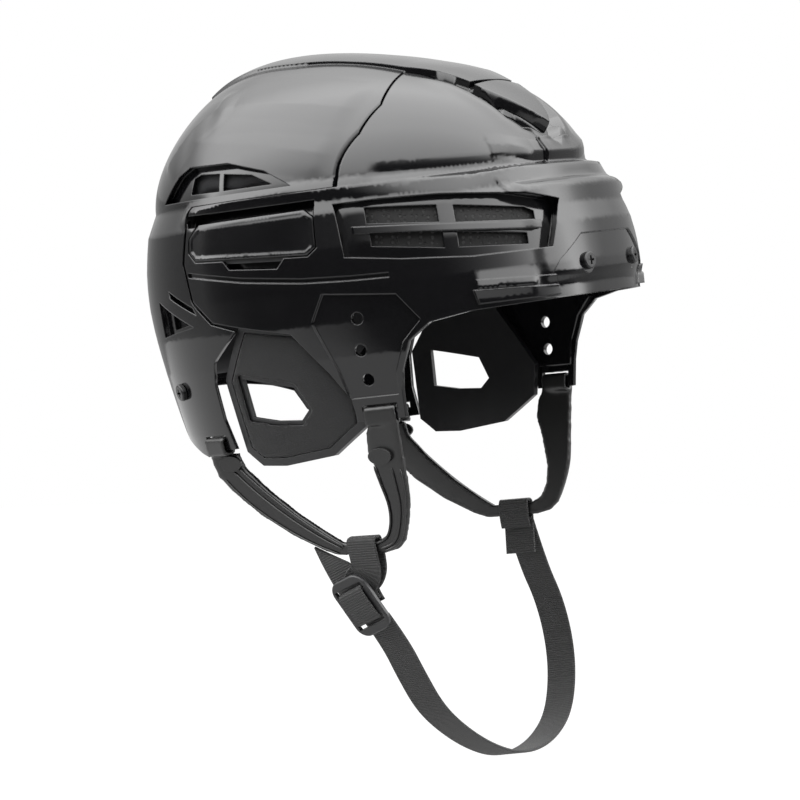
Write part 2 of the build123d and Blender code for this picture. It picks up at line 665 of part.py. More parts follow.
def bar_loop():
    """Webbing round the bottom bar of the right sling."""
    return loop_round(sling_place(CHIN_BAR), WEB_WIDTH, CHIN_BAR_HEIGHT, SLING_WALL, WEB_WALL, STRAP_GAP)


def under_bar():
    """Point, width direction and down direction in the wall under the right sling's bar."""
    drop = CHIN_BAR_HEIGHT / 2 + STRAP_GAP + WEB_WALL / 2
    place = Plane(belt(sling_place(CHIN_BAR)) * Pos(0, -drop, 0))
    return place.origin, place.x_dir, -place.y_dir


def section(point, across, along, wall):
    """Cross section of webbing at a point of its route."""
    return (Plane(point, x_dir=across, z_dir=along) * Rectangle(WEB_WIDTH, wall)).wire()


def buckle_plane():
    """Plane of the slide buckle: x along its bars, y down the webbing, z out."""
    return Plane(BUCKLE_PLACE, x_dir=BUCKLE_ACROSS, z_dir=BUCKLE_OUT)


def behind_buckle(down, plies):
    """Point behind the buckle, some way down it, in the middle of a ply of webbing."""
    depth = BUCKLE_WALL / 2 + (plies + 1 / 2) * (WEB_WALL + GAP) + SOFT_GAP
    return (buckle_plane().location * Pos(0, down, -depth)).position


def right_webbing():
    """Webbing that comes down double from the right sling's bar to the buckle."""
    start, across, down = under_bar()
    end = behind_buckle(-BUCKLE_CORNER / 2, 3)
    first = section(start, across, down, 2 * WEB_WALL)
    last = section(end, BUCKLE_ACROSS, down, 2 * WEB_WALL)
    return belt(bar_loop()) + Solid.make_loft([first, last], ruled=True)


def chin_webbing():
    """Webbing from behind the buckle, under the chin and round the left sling's bar."""
    end, across, down = under_bar()
    end = Vector(-end.X, end.Y, end.Z)
    across = Vector(-across.X, across.Y, across.Z)
    down = Vector(-down.X, down.Y, down.Z)
    route = [behind_buckle(BUCKLE_LENGTH / 4, 1)] + [Vector(*point) for point in WEB_ROUTE] + [end]
    turns = [0] + list(WEB_TURN_SHARES)
    sections = []
    for index, point in enumerate(route[:-1]):
        share = turns[index] if index < len(turns) else 1
        width_line = Vector(*BUCKLE_ACROSS) * (1 - share) + Vector(*WEB_ACROSS) * share
        along = route[index + 1] - route[max(index - 1, 0)]
        sections.append(section(point, width_line, along, WEB_WALL))
    sections.append(section(end, across, -down, WEB_WALL))
    return belt(mirror(bar_loop(), Plane.YZ)) + Solid.make_loft(sections)


def slide_buckle():
    """Moulded buckle with two slots and a bar between them."""
    outline = RectangleRounded(BUCKLE_WIDTH, BUCKLE_LENGTH, BUCKLE_CORNER)
    plate = extrude(outline, amount=BUCKLE_WALL / 2, both=True)
    plate = chamfer(plate.edges().group_by(Axis.Z)[-1], BUCKLE_WALL / 4)
    slot = 2 * (WEB_WALL + GAP)
    for way in (1, -1):
        place = Pos(0, way * (BUCKLE_BAR + slot) / 2, 0)
        plate = plate - place * Box(BUCKLE_SLOT, slot, 2 * BUCKLE_WALL)
    return buckle_plane().location * plate


def buckle_fold():
    """Webbing folded round the middle bar of the buckle."""
    return loop_round(buckle_plane().location, WEB_WIDTH, BUCKLE_BAR, BUCKLE_WALL, WEB_WALL, SOFT_GAP)


def webbing_tail():
    """Free end of the webbing, behind the buckle, cut to a point."""
    face = make_face(Polyline(TAIL, close=True))
    depth = BUCKLE_WALL / 2 + SOFT_GAP + WEB_WALL + GAP
    return buckle_plane().location * Pos(0, 0, -depth - WEB_WALL) * extrude(face, amount=WEB_WALL)


def add(name, shape):
    """Keep a piece of the belt frame under its name, in the frame of the helmet."""
    PIECES[name] = belt(shape)


def add_pair(name, shape):
    """Keep the right piece and its left twin."""
    add("right_" + name, shape)
    add("left_" + name, mirror(shape, Plane.YZ))


def add_shells():
    """Shells with their levers, ear guards and vent foam."""
    add("front_shell", front_shell())
    add("rear_shell", rear_shell())
    add_pair("size_track", size_track())
    add_pair("lever", lever())
    add_pair("lever_base", lever_base())
    add_pair("lever_pin", lever_pin())
    add_pair("ear_guard", ear_guard())
    add_pair("ear_pad", ear_pad())
    add_pair("vent_mesh", vent_mesh())


def add_foams():
    """Foam liners."""
    for name, shape in middle_foams().items():
        add(name, shape)
    for name, shape in side_foams().items():
        add_pair(name, shape)


def add_fasteners():
    """Screws, washers and nuts of the front and of the rear."""
    place = front_screw_place()
    add("front_screws", Compound(both_sides(screw(place, True))))
    add("front_washers", Compound(both_sides(washer(place))))
    add("front_tee_nuts", Compound(both_sides(tee_nut(place))))
    add_pair("rear_screw", screw(rear_screw_place(), False))
    add_pair("rear_tee_nut", tee_nut(rear_screw_place()))


def add_strap():
    """Chin slings, their buttons, the webbing and its buckle."""
    front, rear = sling()
    add_pair("sling", front)
    add_pair("sling_rear_end", rear)
    add_pair("sling_front_button", button(FRONT_BUTTON))
    add_pair("sling_rear_button", button(REAR_BUTTON))
    PIECES["right_webbing"] = right_webbing()
    PIECES["chin_webbing"] = chin_webbing()
    PIECES["slide_buckle"] = slide_buckle()
    PIECES["buckle_fold"] = buckle_fold()
    PIECES["webbing_tail"] = webbing_tail()


add_shells()
add_foams()
add_fasteners()
add_strap()
os.makedirs("parts", exist_ok=True)
for name, shape in PIECES.items():
    export_step(shape, f"parts/{name}.step")
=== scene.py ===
import json
from math import cos, pi, radians, sin

import bmesh
import bpy
import numpy as np
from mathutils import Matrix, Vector

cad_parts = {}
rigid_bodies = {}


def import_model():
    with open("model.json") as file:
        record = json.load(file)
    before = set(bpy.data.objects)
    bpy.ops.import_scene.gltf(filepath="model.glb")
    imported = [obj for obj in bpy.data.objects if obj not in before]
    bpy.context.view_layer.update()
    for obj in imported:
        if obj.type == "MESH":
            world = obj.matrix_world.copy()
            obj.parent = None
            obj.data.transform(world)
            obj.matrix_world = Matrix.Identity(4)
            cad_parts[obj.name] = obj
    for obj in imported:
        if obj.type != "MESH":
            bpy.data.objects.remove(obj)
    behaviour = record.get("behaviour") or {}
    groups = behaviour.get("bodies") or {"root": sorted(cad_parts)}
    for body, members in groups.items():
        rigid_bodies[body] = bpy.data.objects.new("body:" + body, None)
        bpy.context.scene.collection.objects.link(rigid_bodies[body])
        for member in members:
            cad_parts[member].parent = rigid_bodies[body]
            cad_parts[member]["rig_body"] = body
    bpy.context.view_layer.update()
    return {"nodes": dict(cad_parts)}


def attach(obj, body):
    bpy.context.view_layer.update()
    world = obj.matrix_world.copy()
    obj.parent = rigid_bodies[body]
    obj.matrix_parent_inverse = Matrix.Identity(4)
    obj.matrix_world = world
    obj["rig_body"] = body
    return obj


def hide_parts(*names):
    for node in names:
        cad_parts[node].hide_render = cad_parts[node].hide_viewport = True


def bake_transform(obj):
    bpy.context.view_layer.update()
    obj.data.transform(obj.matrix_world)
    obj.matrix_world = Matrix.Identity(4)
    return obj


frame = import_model()
nodes = frame["nodes"]

# Everything is in metres, in the frame of the CAD part: -Y is the front, +X the wearer's left.
MM = 0.001
BELT_TILT = radians(8.0)
BELT_HEIGHT = 35.0
SIDES = (("right", -1), ("left", 1))


def belt(point):
    """A point of the belt frame, in millimetres, as a point of the part, in metres."""
    x, y, z = point
    turned = (x, y * cos(BELT_TILT) + z * sin(BELT_TILT), z * cos(BELT_TILT) - y * sin(BELT_TILT))
    return Vector((turned[0], turned[1], turned[2] + BELT_HEIGHT)) * MM


def turned_to_belt(vectors):
    """Points of the part, in metres, as an array of belt frame millimetres."""
    p = np.asarray(vectors, float) / MM
    y, z = p[:, 1], p[:, 2] - BELT_HEIGHT
    turned = [p[:, 0], y * cos(BELT_TILT) - z * sin(BELT_TILT), y * sin(BELT_TILT) + z * cos(BELT_TILT)]
    return np.stack(turned, 1)


def turned_to_part(points):
    """Belt frame millimetres as an array of points of the part, in metres."""
    x, y, z = points.T
    back = np.stack([x, y * cos(BELT_TILT) + z * sin(BELT_TILT), z * cos(BELT_TILT) - y * sin(BELT_TILT)], 1)
    back[:, 2] += BELT_HEIGHT
    return back * MM


def mesh_object(name, vertices, faces, smooth_angle=35):
    """Object from points in metres and faces, smooth below an angle."""
    mesh = bpy.data.meshes.new(name)
    mesh.from_pydata([tuple(v) for v in vertices], [], [tuple(f) for f in faces])
    mesh.validate()
    obj = bpy.data.objects.new(name, mesh)
    bpy.context.scene.collection.objects.link(obj)
    smooth(mesh, smooth_angle)
    return obj


def smooth(mesh, angle):
    """Smooth shading, with sharp edges above an angle in degrees."""
    mesh.polygons.foreach_set("use_smooth", [True] * len(mesh.polygons))
    mesh.set_sharp_from_angle(angle=radians(angle))
    mesh.update()


# Camera: the photograph's view, fitted to the shell's outline.

CAMERA_TURN = radians(-59.2)
CAMERA_RISE = radians(6.15)
CAMERA_DISTANCE = 1.709
CAMERA_TARGET = Vector((0, -0.014, -0.077))
CAMERA_LENS = 144.0
CAMERA_SENSOR = 36.0
CAMERA_REACH = 20

look = Vector((-sin(CAMERA_TURN) * cos(CAMERA_RISE), cos(CAMERA_TURN) * cos(CAMERA_RISE), -sin(CAMERA_RISE)))
camera = bpy.data.objects.new("camera", bpy.data.cameras.new("camera"))
bpy.context.scene.collection.objects.link(camera)
camera.location = CAMERA_TARGET - look * CAMERA_DISTANCE
camera.rotation_euler = look.to_track_quat("-Z", "Y").to_euler()
camera.data.lens = CAMERA_LENS
camera.data.sensor_width = CAMERA_SENSOR
camera.data.clip_end = CAMERA_REACH
bpy.context.scene.camera = camera
bpy.context.scene.view_settings.view_transform = "Standard"


# Materials.

BEVEL_SAMPLES = 6


def new_material(name, colour, rough, metal=0.0, edge=0.0):
    """Principled material with its nodes; edge is the radius that the bevel node rounds edges to."""
    made = bpy.data.materials.new(name)
    made.use_nodes = True
    tree = made.node_tree
    shader = tree.nodes["Principled BSDF"]
    shader.inputs["Base Color"].default_value = (*colour, 1)
    shader.inputs["Roughness"].default_value = rough
    shader.inputs["Metallic"].default_value = metal
    normal = None
    if edge:
        bevel = tree.nodes.new("ShaderNodeBevel")
        bevel.samples = BEVEL_SAMPLES
        bevel.inputs["Radius"].default_value = edge
        normal = bevel.outputs["Normal"]
        tree.links.new(normal, shader.inputs["Normal"])
    return made, tree, shader, normal


def coordinates(tree):
    """Coordinates of the piece in millimetres."""
    place = tree.nodes.new("ShaderNodeTexCoord")
    grow = tree.nodes.new("ShaderNodeVectorMath")
    grow.operation = "SCALE"
    grow.inputs["Scale"].default_value = 1 / MM
    tree.links.new(place.outputs["Object"], grow.inputs[0])
    return grow.outputs[0]


def noise(tree, vector, scale, detail, rough=0.5):
    """Noise from 0 to 1, with its scale for each millimetre."""
    node = tree.nodes.new("ShaderNodeTexNoise")
    node.inputs["Scale"].default_value = scale
    node.inputs["Detail"].default_value = detail
    node.inputs["Roughness"].default_value = rough
    tree.links.new(vector, node.inputs["Vector"])
    return node.outputs["Fac"]


def spread(tree, value, low, high, start=0.0, end=1.0):
    """A value mapped from one range to another."""
    node = tree.nodes.new("ShaderNodeMapRange")
    for name, number in (("From Min", start), ("From Max", end), ("To Min", low), ("To Max", high)):
        node.inputs[name].default_value = number
    tree.links.new(value, node.inputs["Value"])
    return node.outputs["Result"]


def sums(tree, operation, first, second):
    """Result of a math node, each of whose inputs is a number or a socket."""
    node = tree.nodes.new("ShaderNodeMath")
    node.operation = operation
    for index, value in enumerate((first, second)):
        if isinstance(value, (int, float)):
            node.inputs[index].default_value = value
        else:
            tree.links.new(value, node.inputs[index])
    return node.outputs[0]


def bump(tree, shader, height, distance, strength, normal=None):
    """Relief of the shader's normal, over the rounded one where there is one."""
    node = tree.nodes.new("ShaderNodeBump")
    node.inputs["Strength"].default_value = strength
    node.inputs["Distance"].default_value = distance
    tree.links.new(height, node.inputs["Height"])
    if normal is not None:
        tree.links.new(normal, node.inputs["Normal"])
    tree.links.new(node.outputs["Normal"], shader.inputs["Normal"])


def tint(tree, shader, value, dark, light):
    """Base colour between two colours."""
    node = tree.nodes.new("ShaderNodeMix")
    node.data_type = "RGBA"
    node.inputs["A"].default_value = (*dark, 1)
    node.inputs["B"].default_value = (*light, 1)
    tree.links.new(value, node.inputs["Factor"])
    tree.links.new(node.outputs["Result"], shader.inputs["Base Color"])


def gloss_plastic():
    """Polished black shell: faint waviness, fine dust and a few softer patches."""
    made, tree, shader, normal = new_material("gloss plastic", (0.006, 0.006, 0.007), 0.14, edge=0.0008)
    at = coordinates(tree)
    patches = noise(tree, at, 0.02, 3)
    tree.links.new(spread(tree, patches, 0.10, 0.17, 0.35, 0.65), shader.inputs["Roughness"])
    tint(tree, shader, noise(tree, at, 0.6, 5), (0.004, 0.004, 0.005), (0.010, 0.010, 0.011))
    bump(tree, shader, noise(tree, at, 0.035, 1), 0.0002, 0.25, normal)
    return made


def moulded_plastic():
    """Satin moulded plastic with a fine grain."""
    made, tree, shader, normal = new_material("moulded plastic", (0.012, 0.012, 0.013), 0.4, edge=0.0005)
    at = coordinates(tree)
    grain = noise(tree, at, 1.4, 3)
    tree.links.new(spread(tree, grain, 0.34, 0.5, 0.3, 0.7), shader.inputs["Roughness"])
    tint(tree, shader, noise(tree, at, 0.08, 4), (0.008, 0.008, 0.009), (0.016, 0.016, 0.017))
    bump(tree, shader, grain, 0.00006, 0.6, normal)
    return made


def felt():
    """Pressed black felt."""
    made, tree, shader, _ = new_material("felt", (0.02, 0.02, 0.02), 0.95)
    at = coordinates(tree)
    fibre = noise(tree, at, 2.6, 5, 0.7)
    tint(tree, shader, fibre, (0.006, 0.006, 0.006), (0.035, 0.035, 0.036))
    bump(tree, shader, fibre, 0.0004, 0.9)
    shader.inputs["Sheen Weight"].default_value = 0.25
    shader.inputs["Sheen Roughness"].default_value = 0.5
    return made


def foam():
    """Closed-cell foam with a skin."""
    made, tree, shader, normal = new_material("foam", (0.018, 0.018, 0.019), 0.85, edge=0.0015)
    at = coordinates(tree)
    cells = noise(tree, at, 1.1, 4, 0.6)
    tint(tree, shader, cells, (0.010, 0.010, 0.011), (0.026, 0.026, 0.028))
    bump(tree, shader, cells, 0.0002, 0.5, normal)
    return made


HOLES_PER_MM = 0.38
# Height in millimetres below which the holes hold painted light at full strength; above it they get a tenth.
LIGHT_IN_HOLES_BELOW = 6.5


def perforated_foam_with_painted_light():
    """Foam sheet with rows of small round holes, which hold painted light: full below a height, a tenth as
    strong above it.
    """
    made, tree, shader, _ = new_material("perforated foam, painted light in holes", (0.03, 0.03, 0.03), 0.8)
    at = coordinates(tree)
    cells = tree.nodes.new("ShaderNodeTexVoronoi")
    cells.inputs["Scale"].default_value = HOLES_PER_MM
    cells.inputs["Randomness"].default_value = 0.0
    tree.links.new(at, cells.inputs["Vector"])
    hole = spread(tree, cells.outputs["Distance"], 0.0, 1.0, 0.28, 0.36)
    parts = tree.nodes.new("ShaderNodeSeparateXYZ")
    tree.links.new(at, parts.inputs[0])
    # Painted light: the holes are light grey, as if light showed through them, and the sheet between them is
    # near black.
    shown = sums(tree, "LESS_THAN", parts.outputs["Z"], LIGHT_IN_HOLES_BELOW)
    painted_hole_light = sums(tree, "SUBTRACT", 1, hole)
    shade = sums(tree, "MULTIPLY", painted_hole_light, sums(tree, "ADD", sums(tree, "MULTIPLY", shown, 0.9), 0.1))
    tint(tree, shader, shade, (0.004, 0.004, 0.004), (0.4, 0.4, 0.4))
    bump(tree, shader, hole, 0.0006, 0.8)
    return made


def rubber():
    """Moulded strap rubber: satin, with a very fine texture."""
    made, tree, shader, normal = new_material("strap rubber", (0.01, 0.01, 0.01), 0.38, edge=0.0003)
    at = coordinates(tree)
    fine = noise(tree, at, 2.2, 2)
    tree.links.new(spread(tree, fine, 0.30, 0.46, 0.3, 0.7), shader.inputs["Roughness"])
    tint(tree, shader, noise(tree, at, 0.1, 3), (0.007, 0.007, 0.007), (0.014, 0.014, 0.014))
    bump(tree, shader, fine, 0.00003, 0.5, normal)
    return made


RIB_PITCH = 1.25
THREAD_PITCH = 0.8


def webbing():
    """Woven webbing: ribs across, with finer threads along; its UV map is in millimetres. Its colour holds
    painted shade, dark in the weave's hollows and lighter on its ribs and threads, with some random tone.
    """
    made, tree, shader, _ = new_material("webbing", (0.02, 0.02, 0.02), 0.75)
    place = tree.nodes.new("ShaderNodeTexCoord")
    parts = tree.nodes.new("ShaderNodeSeparateXYZ")
    tree.links.new(place.outputs["UV"], parts.inputs[0])
    across, along = parts.outputs["X"], parts.outputs["Y"]
    rib = sums(tree, "SINE", sums(tree, "MULTIPLY", along, 2 * pi / RIB_PITCH), 0)
    row = sums(tree, "FLOOR", sums(tree, "DIVIDE", along, RIB_PITCH), 0)
    shift = sums(tree, "MULTIPLY", sums(tree, "MODULO", row, 2), THREAD_PITCH / 2)
    shifted = sums(tree, "ADD", across, shift)
    thread = sums(tree, "SINE", sums(tree, "MULTIPLY", shifted, 2 * pi / THREAD_PITCH), 0)
    height = sums(tree, "ADD", sums(tree, "MULTIPLY", rib, 0.65), sums(tree, "MULTIPLY", thread, 0.35))
    relief_and_painted_shade = spread(tree, height, 0.0, 1.0, -1.0, 1.0)
    fuzz = noise(tree, coordinates(tree), 3.0, 3)
    # Painted shade: the colour follows the weave's height, darkest in its hollows, with a fifth of random
    # fuzz.
    shade = sums(tree, "ADD", sums(tree, "MULTIPLY", relief_and_painted_shade, 0.8), sums(tree, "MULTIPLY", fuzz, 0.2))
    tint(tree, shader, shade, (0.004, 0.004, 0.004), (0.05, 0.05, 0.05))
    bump(tree, shader, relief_and_painted_shade, 0.00035, 0.9)
    shader.inputs["Sheen Weight"].default_value = 0.15
    return made


def black_steel():
    """Blackened screw steel with a worn tone and roughness that vary at random."""
    made, tree, shader, _ = new_material("black steel", (0.02, 0.02, 0.02), 0.3, metal=0.6, edge=0.0003)
    worn = noise(tree, coordinates(tree), 0.9, 4)
    tree.links.new(spread(tree, worn, 0.2, 0.42), shader.inputs["Roughness"])
    tint(tree, shader, worn, (0.012, 0.012, 0.012), (0.035, 0.035, 0.036))
    return made


def bright_steel():
    """Zinc plated steel of the hinge pins and nuts."""
    made, tree, shader, _ = new_material("bright steel", (0.5, 0.5, 0.5), 0.35, metal=1.0)
    drawn = noise(tree, coordinates(tree), 0.7, 4)
    tree.links.new(spread(tree, drawn, 0.25, 0.45), shader.inputs["Roughness"])
    tint(tree, shader, drawn, (0.42, 0.42, 0.43), (0.58, 0.58, 0.58))
    return made


GLOSS = gloss_plastic()
MOULDED = moulded_plastic()
FELT = felt()
FOAM = foam()
PERFORATED_PAINTED_LIGHT = perforated_foam_with_painted_light()
RUBBER = rubber()
WEBBING = webbing()
BLACK_STEEL = black_steel()
BRIGHT_STEEL = bright_steel()


def paint(obj, material):
    """One material on the whole object."""
    obj.data.materials.clear()
    obj.data.materials.append(material)


def pair(*names):
    """Node names of both sides."""
    return [f"{side}_{name}" for side, _ in SIDES for name in names]


FOAMS = [*pair("temple_foam", "side_foam", "rear_foam"), "forehead_foam", "crown_front_foam",
         "crown_rear_foam", "occipital_foam"]
FINISHES = (
    (GLOSS, ["front_shell", "rear_shell", *pair("lever", "size_track")]),
    (MOULDED, [*pair("lever_base", "ear_guard"), "slide_buckle"]),
    (FELT, pair("ear_pad")),
    (PERFORATED_PAINTED_LIGHT, pair("vent_mesh")),
    (FOAM, FOAMS),
    (RUBBER, pair("sling", "sling_rear_end", "sling_front_button", "sling_rear_button")),
    (BLACK_STEEL, ["front_screws", "front_washers", *pair("rear_screw")]),
    (BRIGHT_STEEL, ["front_tee_nuts", *pair("rear_tee_nut", "lever_pin")]),
    (WEBBING, ["right_webbing", "chin_webbing", "buckle_fold", "webbing_tail"]),
)
for material, names in FINISHES:
    for name in names:
        paint(nodes[name], material)


# Chin webbing: its route is the one of the CAD source, in metres.

WEB_WIDTH = 18.0 * MM
WEB_WALL = 1.5 * MM
WEB_ROUTE = [
    (-0.0729, -0.0434, -0.1807), (-0.0646, -0.0501, -0.1954), (-0.0545, -0.0535, -0.2130),
    (-0.0415, -0.0576, -0.2328), (-0.0202, -0.0607, -0.2485), (0.0030, -0.0631, -0.2607),
    (0.0255, -0.0647, -0.2685), (0.0492, -0.0652, -0.2708), (0.0720, -0.0645, -0.2670),
    (0.0912, -0.0624, -0.2572), (0.1027, -0.0586, -0.2380), (0.1058, -0.0544, -0.2171),
    (0.1017, -0.0500, -0.1952), (0.0908, -0.0461, -0.1753), (0.0815, -0.0420, -0.1485),
]
WEB_ACROSS = Vector((0, 0.981, -0.196))
CHIN_TURN = 0.16
LOOP_TURN = 0.38
FOLD_WIDTH = 17.6 * MM
BUCKLE_PLACE = Vector((-0.080, -0.0385, -0.174))
BUCKLE_ACROSS = Vector((0.195, 0.878, -0.437)).normalized()
BUCKLE_OUT = Vector((-0.932, 0.029, -0.357)).normalized()
BUCKLE_DOWN = BUCKLE_OUT.cross(BUCKLE_ACROSS)
CHIN_BAR = Vector((-0.0798, -0.0411, -0.1437))
BAR_BACK = Vector((0.0663, 0.9880, -0.1389))
BAR_UP = Vector((-0.1733, 0.1485, 0.9738))


def spline_points(route, name):
    """Points along the smooth line through a route."""
    data = bpy.data.curves.new(name, "CURVE")
    data.dimensions = "3D"
    data.resolution_u = 8
    line = data.splines.new("NURBS")
    line.points.add(len(route) - 1)
    for point, place in zip(line.points, route):
        point.co = (*place, 1)
    line.order_u = 3
    line.use_endpoint_u = True
    obj = bpy.data.objects.new(name, data)
    bpy.context.scene.collection.objects.link(obj)
    bpy.context.view_layer.update()
    mesh = bpy.data.meshes.new_from_object(obj)
    points = [v.co.copy() for v in mesh.vertices]
    bpy.data.objects.remove(obj)
    bpy.data.meshes.remove(mesh)
    return points


def mark_uv(obj, marks):
    """UV map from one mark for each vertex."""
    layer = obj.data.uv_layers.new(name="UVMap")
    for loop in obj.data.loops:
        layer.data[loop.index].uv = marks[loop.vertex_index]


def ribbon(name, points, across_at, width=WEB_WIDTH):
    """Flat woven ribbon along points; across_at gives the width direction at a share of its length."""
    edge = WEB_WALL / 3
    half, thick = width / 2, WEB_WALL / 2
    profile = [
        (-half + edge, -thick), (-half / 2, -thick), (0, -thick), (half / 2, -thick),
        (half - edge, -thick), (half, 0), (half - edge, thick), (half / 2, thick),
        (0, thick), (-half / 2, thick), (-half + edge, thick), (-half, 0),
    ]
    lengths = [0.0]
    for a, b in zip(points, points[1:]):
        lengths.append(lengths[-1] + (b - a).length)
    vertices, faces, marks = [], [], []
    for index, point in enumerate(points):
        before, after = points[max(index - 1, 0)], points[min(index + 1, len(points) - 1)]
        along = (after - before).normalized()
        across = across_at(lengths[index] / lengths[-1])
        across = (across - along * across.dot(along)).normalized()
        face_out = along.cross(across)
        for u, v in profile:
            vertices.append(point + across * u + face_out * v)
            marks.append((u / MM, lengths[index] / MM))
    count = len(profile)
    for index in range(len(points) - 1):
        for step in range(count):
            a, b = index * count + step, index * count + (step + 1) % count
            faces.append((a, b, b + count, a + count))
    faces.append(tuple(reversed(range(count))))
    faces.append(tuple(range(len(vertices) - count, len(vertices))))
    obj = mesh_object(name, vertices, faces, 50)
    mark_uv(obj, marks)
    paint(obj, WEBBING)
    return obj


def eased(turn):
    """Share of a turn that starts and ends softly."""
    return turn * turn * (3 - 2 * turn)


def chin_across(share):
    """Width direction of the chin webbing: turned at the buckle, straight further on."""
    return BUCKLE_ACROSS.lerp(WEB_ACROSS, eased(min(share / CHIN_TURN, 1)))


route_points = spline_points(WEB_ROUTE, "chin_route")
chin = ribbon("chin_ribbon", route_points, chin_across)
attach(chin, "helmet")
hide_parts("chin_webbing")


def buckle_point(across, down, out):
    """Point of the buckle's own frame, in millimetres."""
    return BUCKLE_PLACE + (BUCKLE_ACROSS * across + BUCKLE_DOWN * down + BUCKLE_OUT * out) * MM


def bar_point(side, up, out, back=0.0):
    """Point near the bottom bar of a sling, in millimetres; out is away from the head."""
    outward = BAR_BACK.cross(BAR_UP)
    outward = outward if outward.x < 0 else -outward
    point = CHIN_BAR + (BAR_UP * up + outward * out + BAR_BACK * back) * MM
    return Vector((point.x * -side, point.y, point.z))


# The webbing comes down double from the right bar, with one ply on each side of it.
loop_route = [
    buckle_point(0, 2, -6.2), buckle_point(0, -10, -5.6), bar_point(-1, -14, 3.4), bar_point(-1, -5, 3.3),
    bar_point(-1, 1.5, 3.3), bar_point(-1, 4.9, 2.9), bar_point(-1, 5.2, 0), bar_point(-1, 4.9, -2.9),
    bar_point(-1, 1.5, -3.3), bar_point(-1, -5, -3.3), bar_point(-1, -14, -2.2), buckle_point(0, -8, -8.2),
    buckle_point(0, 4, -8.0),
]


def loop_across(share):
    """Width direction of the loop: as the buckle at both ends, as the bar round the bar."""
    return BUCKLE_ACROSS.lerp(BAR_BACK, eased(min(min(share, 1 - share) / LOOP_TURN, 1)))


bar_loop = ribbon("right_bar_loop", spline_points(loop_route, "loop_route"), loop_across)
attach(bar_loop, "helmet")
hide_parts("right_webbing")

far_route = [
    bar_point(1, -24, 4.2), bar_point(1, -14, 3.9), bar_point(1, -5, 3.3), bar_point(1, 1.5, 3.3),
    bar_point(1, 4.9, 2.9), bar_point(1, 5.2, 0), bar_point(1, 4.9, -2.9), bar_point(1, 1.5, -3.3),
    bar_point(1, -5, -2.6), bar_point(1, -10, -0.6),
]
far_loop = ribbon("left_bar_loop", spline_points(far_route, "far_route"),
                  lambda share: Vector((-BAR_BACK.x, BAR_BACK.y, BAR_BACK.z)))
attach(far_loop, "helmet")

fold_route = [
    buckle_point(0, -7.4, -2.6), buckle_point(0, -8.6, -1.6), buckle_point(0, -9.2, 0),
    buckle_point(0, -8.6, 1.7), buckle_point(0, -7, 2.4), buckle_point(0, 0, 2.6),
    buckle_point(0, 7, 2.4), buckle_point(0, 8.6, 1.7), buckle_point(0, 9.2, 0),
    buckle_point(0, 8.6, -1.6), buckle_point(0, 7.4, -2.6),
]
fold = ribbon("buckle_webbing", spline_points(fold_route, "fold_route"),
              lambda share: BUCKLE_ACROSS, FOLD_WIDTH)
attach(fold, "helmet")
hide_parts("buckle_fold")


TAIL_ROWS = 14
TAIL_STEPS = 4
TAIL_TOP, TAIL_CUT, TAIL_END = 4.0, -20, -36.0
TAIL_RIGHT_TOP, TAIL_RIGHT_END = 12.5, 14.3
TAIL_LEFT_TOP, TAIL_LEFT_CUT = -7, -4.5
TAIL_TIP_SHIFT = 18.7
TAIL_LIFT, TAIL_CURL = -4.0, 0.004


def tail_edges(row):
    """Height of a row of the tail and its left and right edges, in the buckle's millimetres."""
    down = TAIL_TOP + (TAIL_END - TAIL_TOP) * row / TAIL_ROWS
    right = TAIL_RIGHT_TOP + (TAIL_RIGHT_END - TAIL_RIGHT_TOP) * row / TAIL_ROWS
    if down > TAIL_CUT:
        left = TAIL_LEFT_TOP + (TAIL_TOP - down) * (TAIL_LEFT_CUT - TAIL_LEFT_TOP) / (TAIL_TOP - TAIL_CUT)
    else:
        left = TAIL_LEFT_CUT + TAIL_TIP_SHIFT * (down - TAIL_CUT) / (TAIL_END - TAIL_CUT)
    return down, left, right


def tail_piece():
    """Free end of the webbing behind the buckle, cut to a point and a little curled."""
    vertices, faces, marks = [], [], []
    for face_side in (0, 1):
        for row in range(TAIL_ROWS + 1):
            down, left, right = tail_edges(row)
            lift = TAIL_LIFT - TAIL_CURL * (down - TAIL_TOP) ** 2 - WEB_WALL / MM * face_side
            for column in range(TAIL_STEPS + 1):
                x = left + (right - left) * column / TAIL_STEPS
                vertices.append(buckle_point(x, down, lift))
                marks.append((x, down))
    across = TAIL_STEPS + 1
    count = (TAIL_ROWS + 1) * across
    for face_side in (0, 1):
        for row in range(TAIL_ROWS):
            for column in range(TAIL_STEPS):
                a = face_side * count + row * across + column
                quad = (a, a + 1, a + across + 1, a + across)
                faces.append(quad if face_side else tuple(reversed(quad)))
    rim = [row * across for row in range(TAIL_ROWS + 1)]
    rim += [TAIL_ROWS * across + column for column in range(1, across)]
    rim += [row * across + TAIL_STEPS for row in reversed(range(TAIL_ROWS))]
    rim += reversed(range(1, TAIL_STEPS))
    for a, b in zip(rim, rim[1:] + rim[:1]):
        faces.append((a, b, b + count, a + count))
    obj = mesh_object("webbing_end", vertices, faces, 40)
    mark_uv(obj, marks)
    paint(obj, WEBBING)
    return obj


tail = tail_piece()
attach(tail, "helmet")
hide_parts("webbing_tail")


# Shells: the CAD meshes, made finer on the exact skin and then sculpted.

CROWN_HEIGHT = 74.3
CENTRE_BACK, CROWN_DRIFT, CROWN_POWER, DRIFT_POWER = 15.0, 20.8, 1.86, 3.53
FRONT_POWER, BACK_POWER = 2.35, 2.2
BAND_LEVELS = np.array((0.0, 11.9, 29.96, 49.98, 67.06, 84.98, 118.02, 140.0, 170.0))
BAND_WIDTHS = np.array((104.0, 107.96, 108.5, 107.96, 106.98, 105.03, 99.49, 95.05, 88.0))
BAND_FRONTS = np.array((126.4, 139.5, 147.0, 149.55, 150.0, 150.0, 150.0, 150.0, 150.0))
BAND_BACKS = np.array((102.8, 108.98, 112.97, 114.0, 111.95, 108.53, 101.0, 93.02, 82.0))


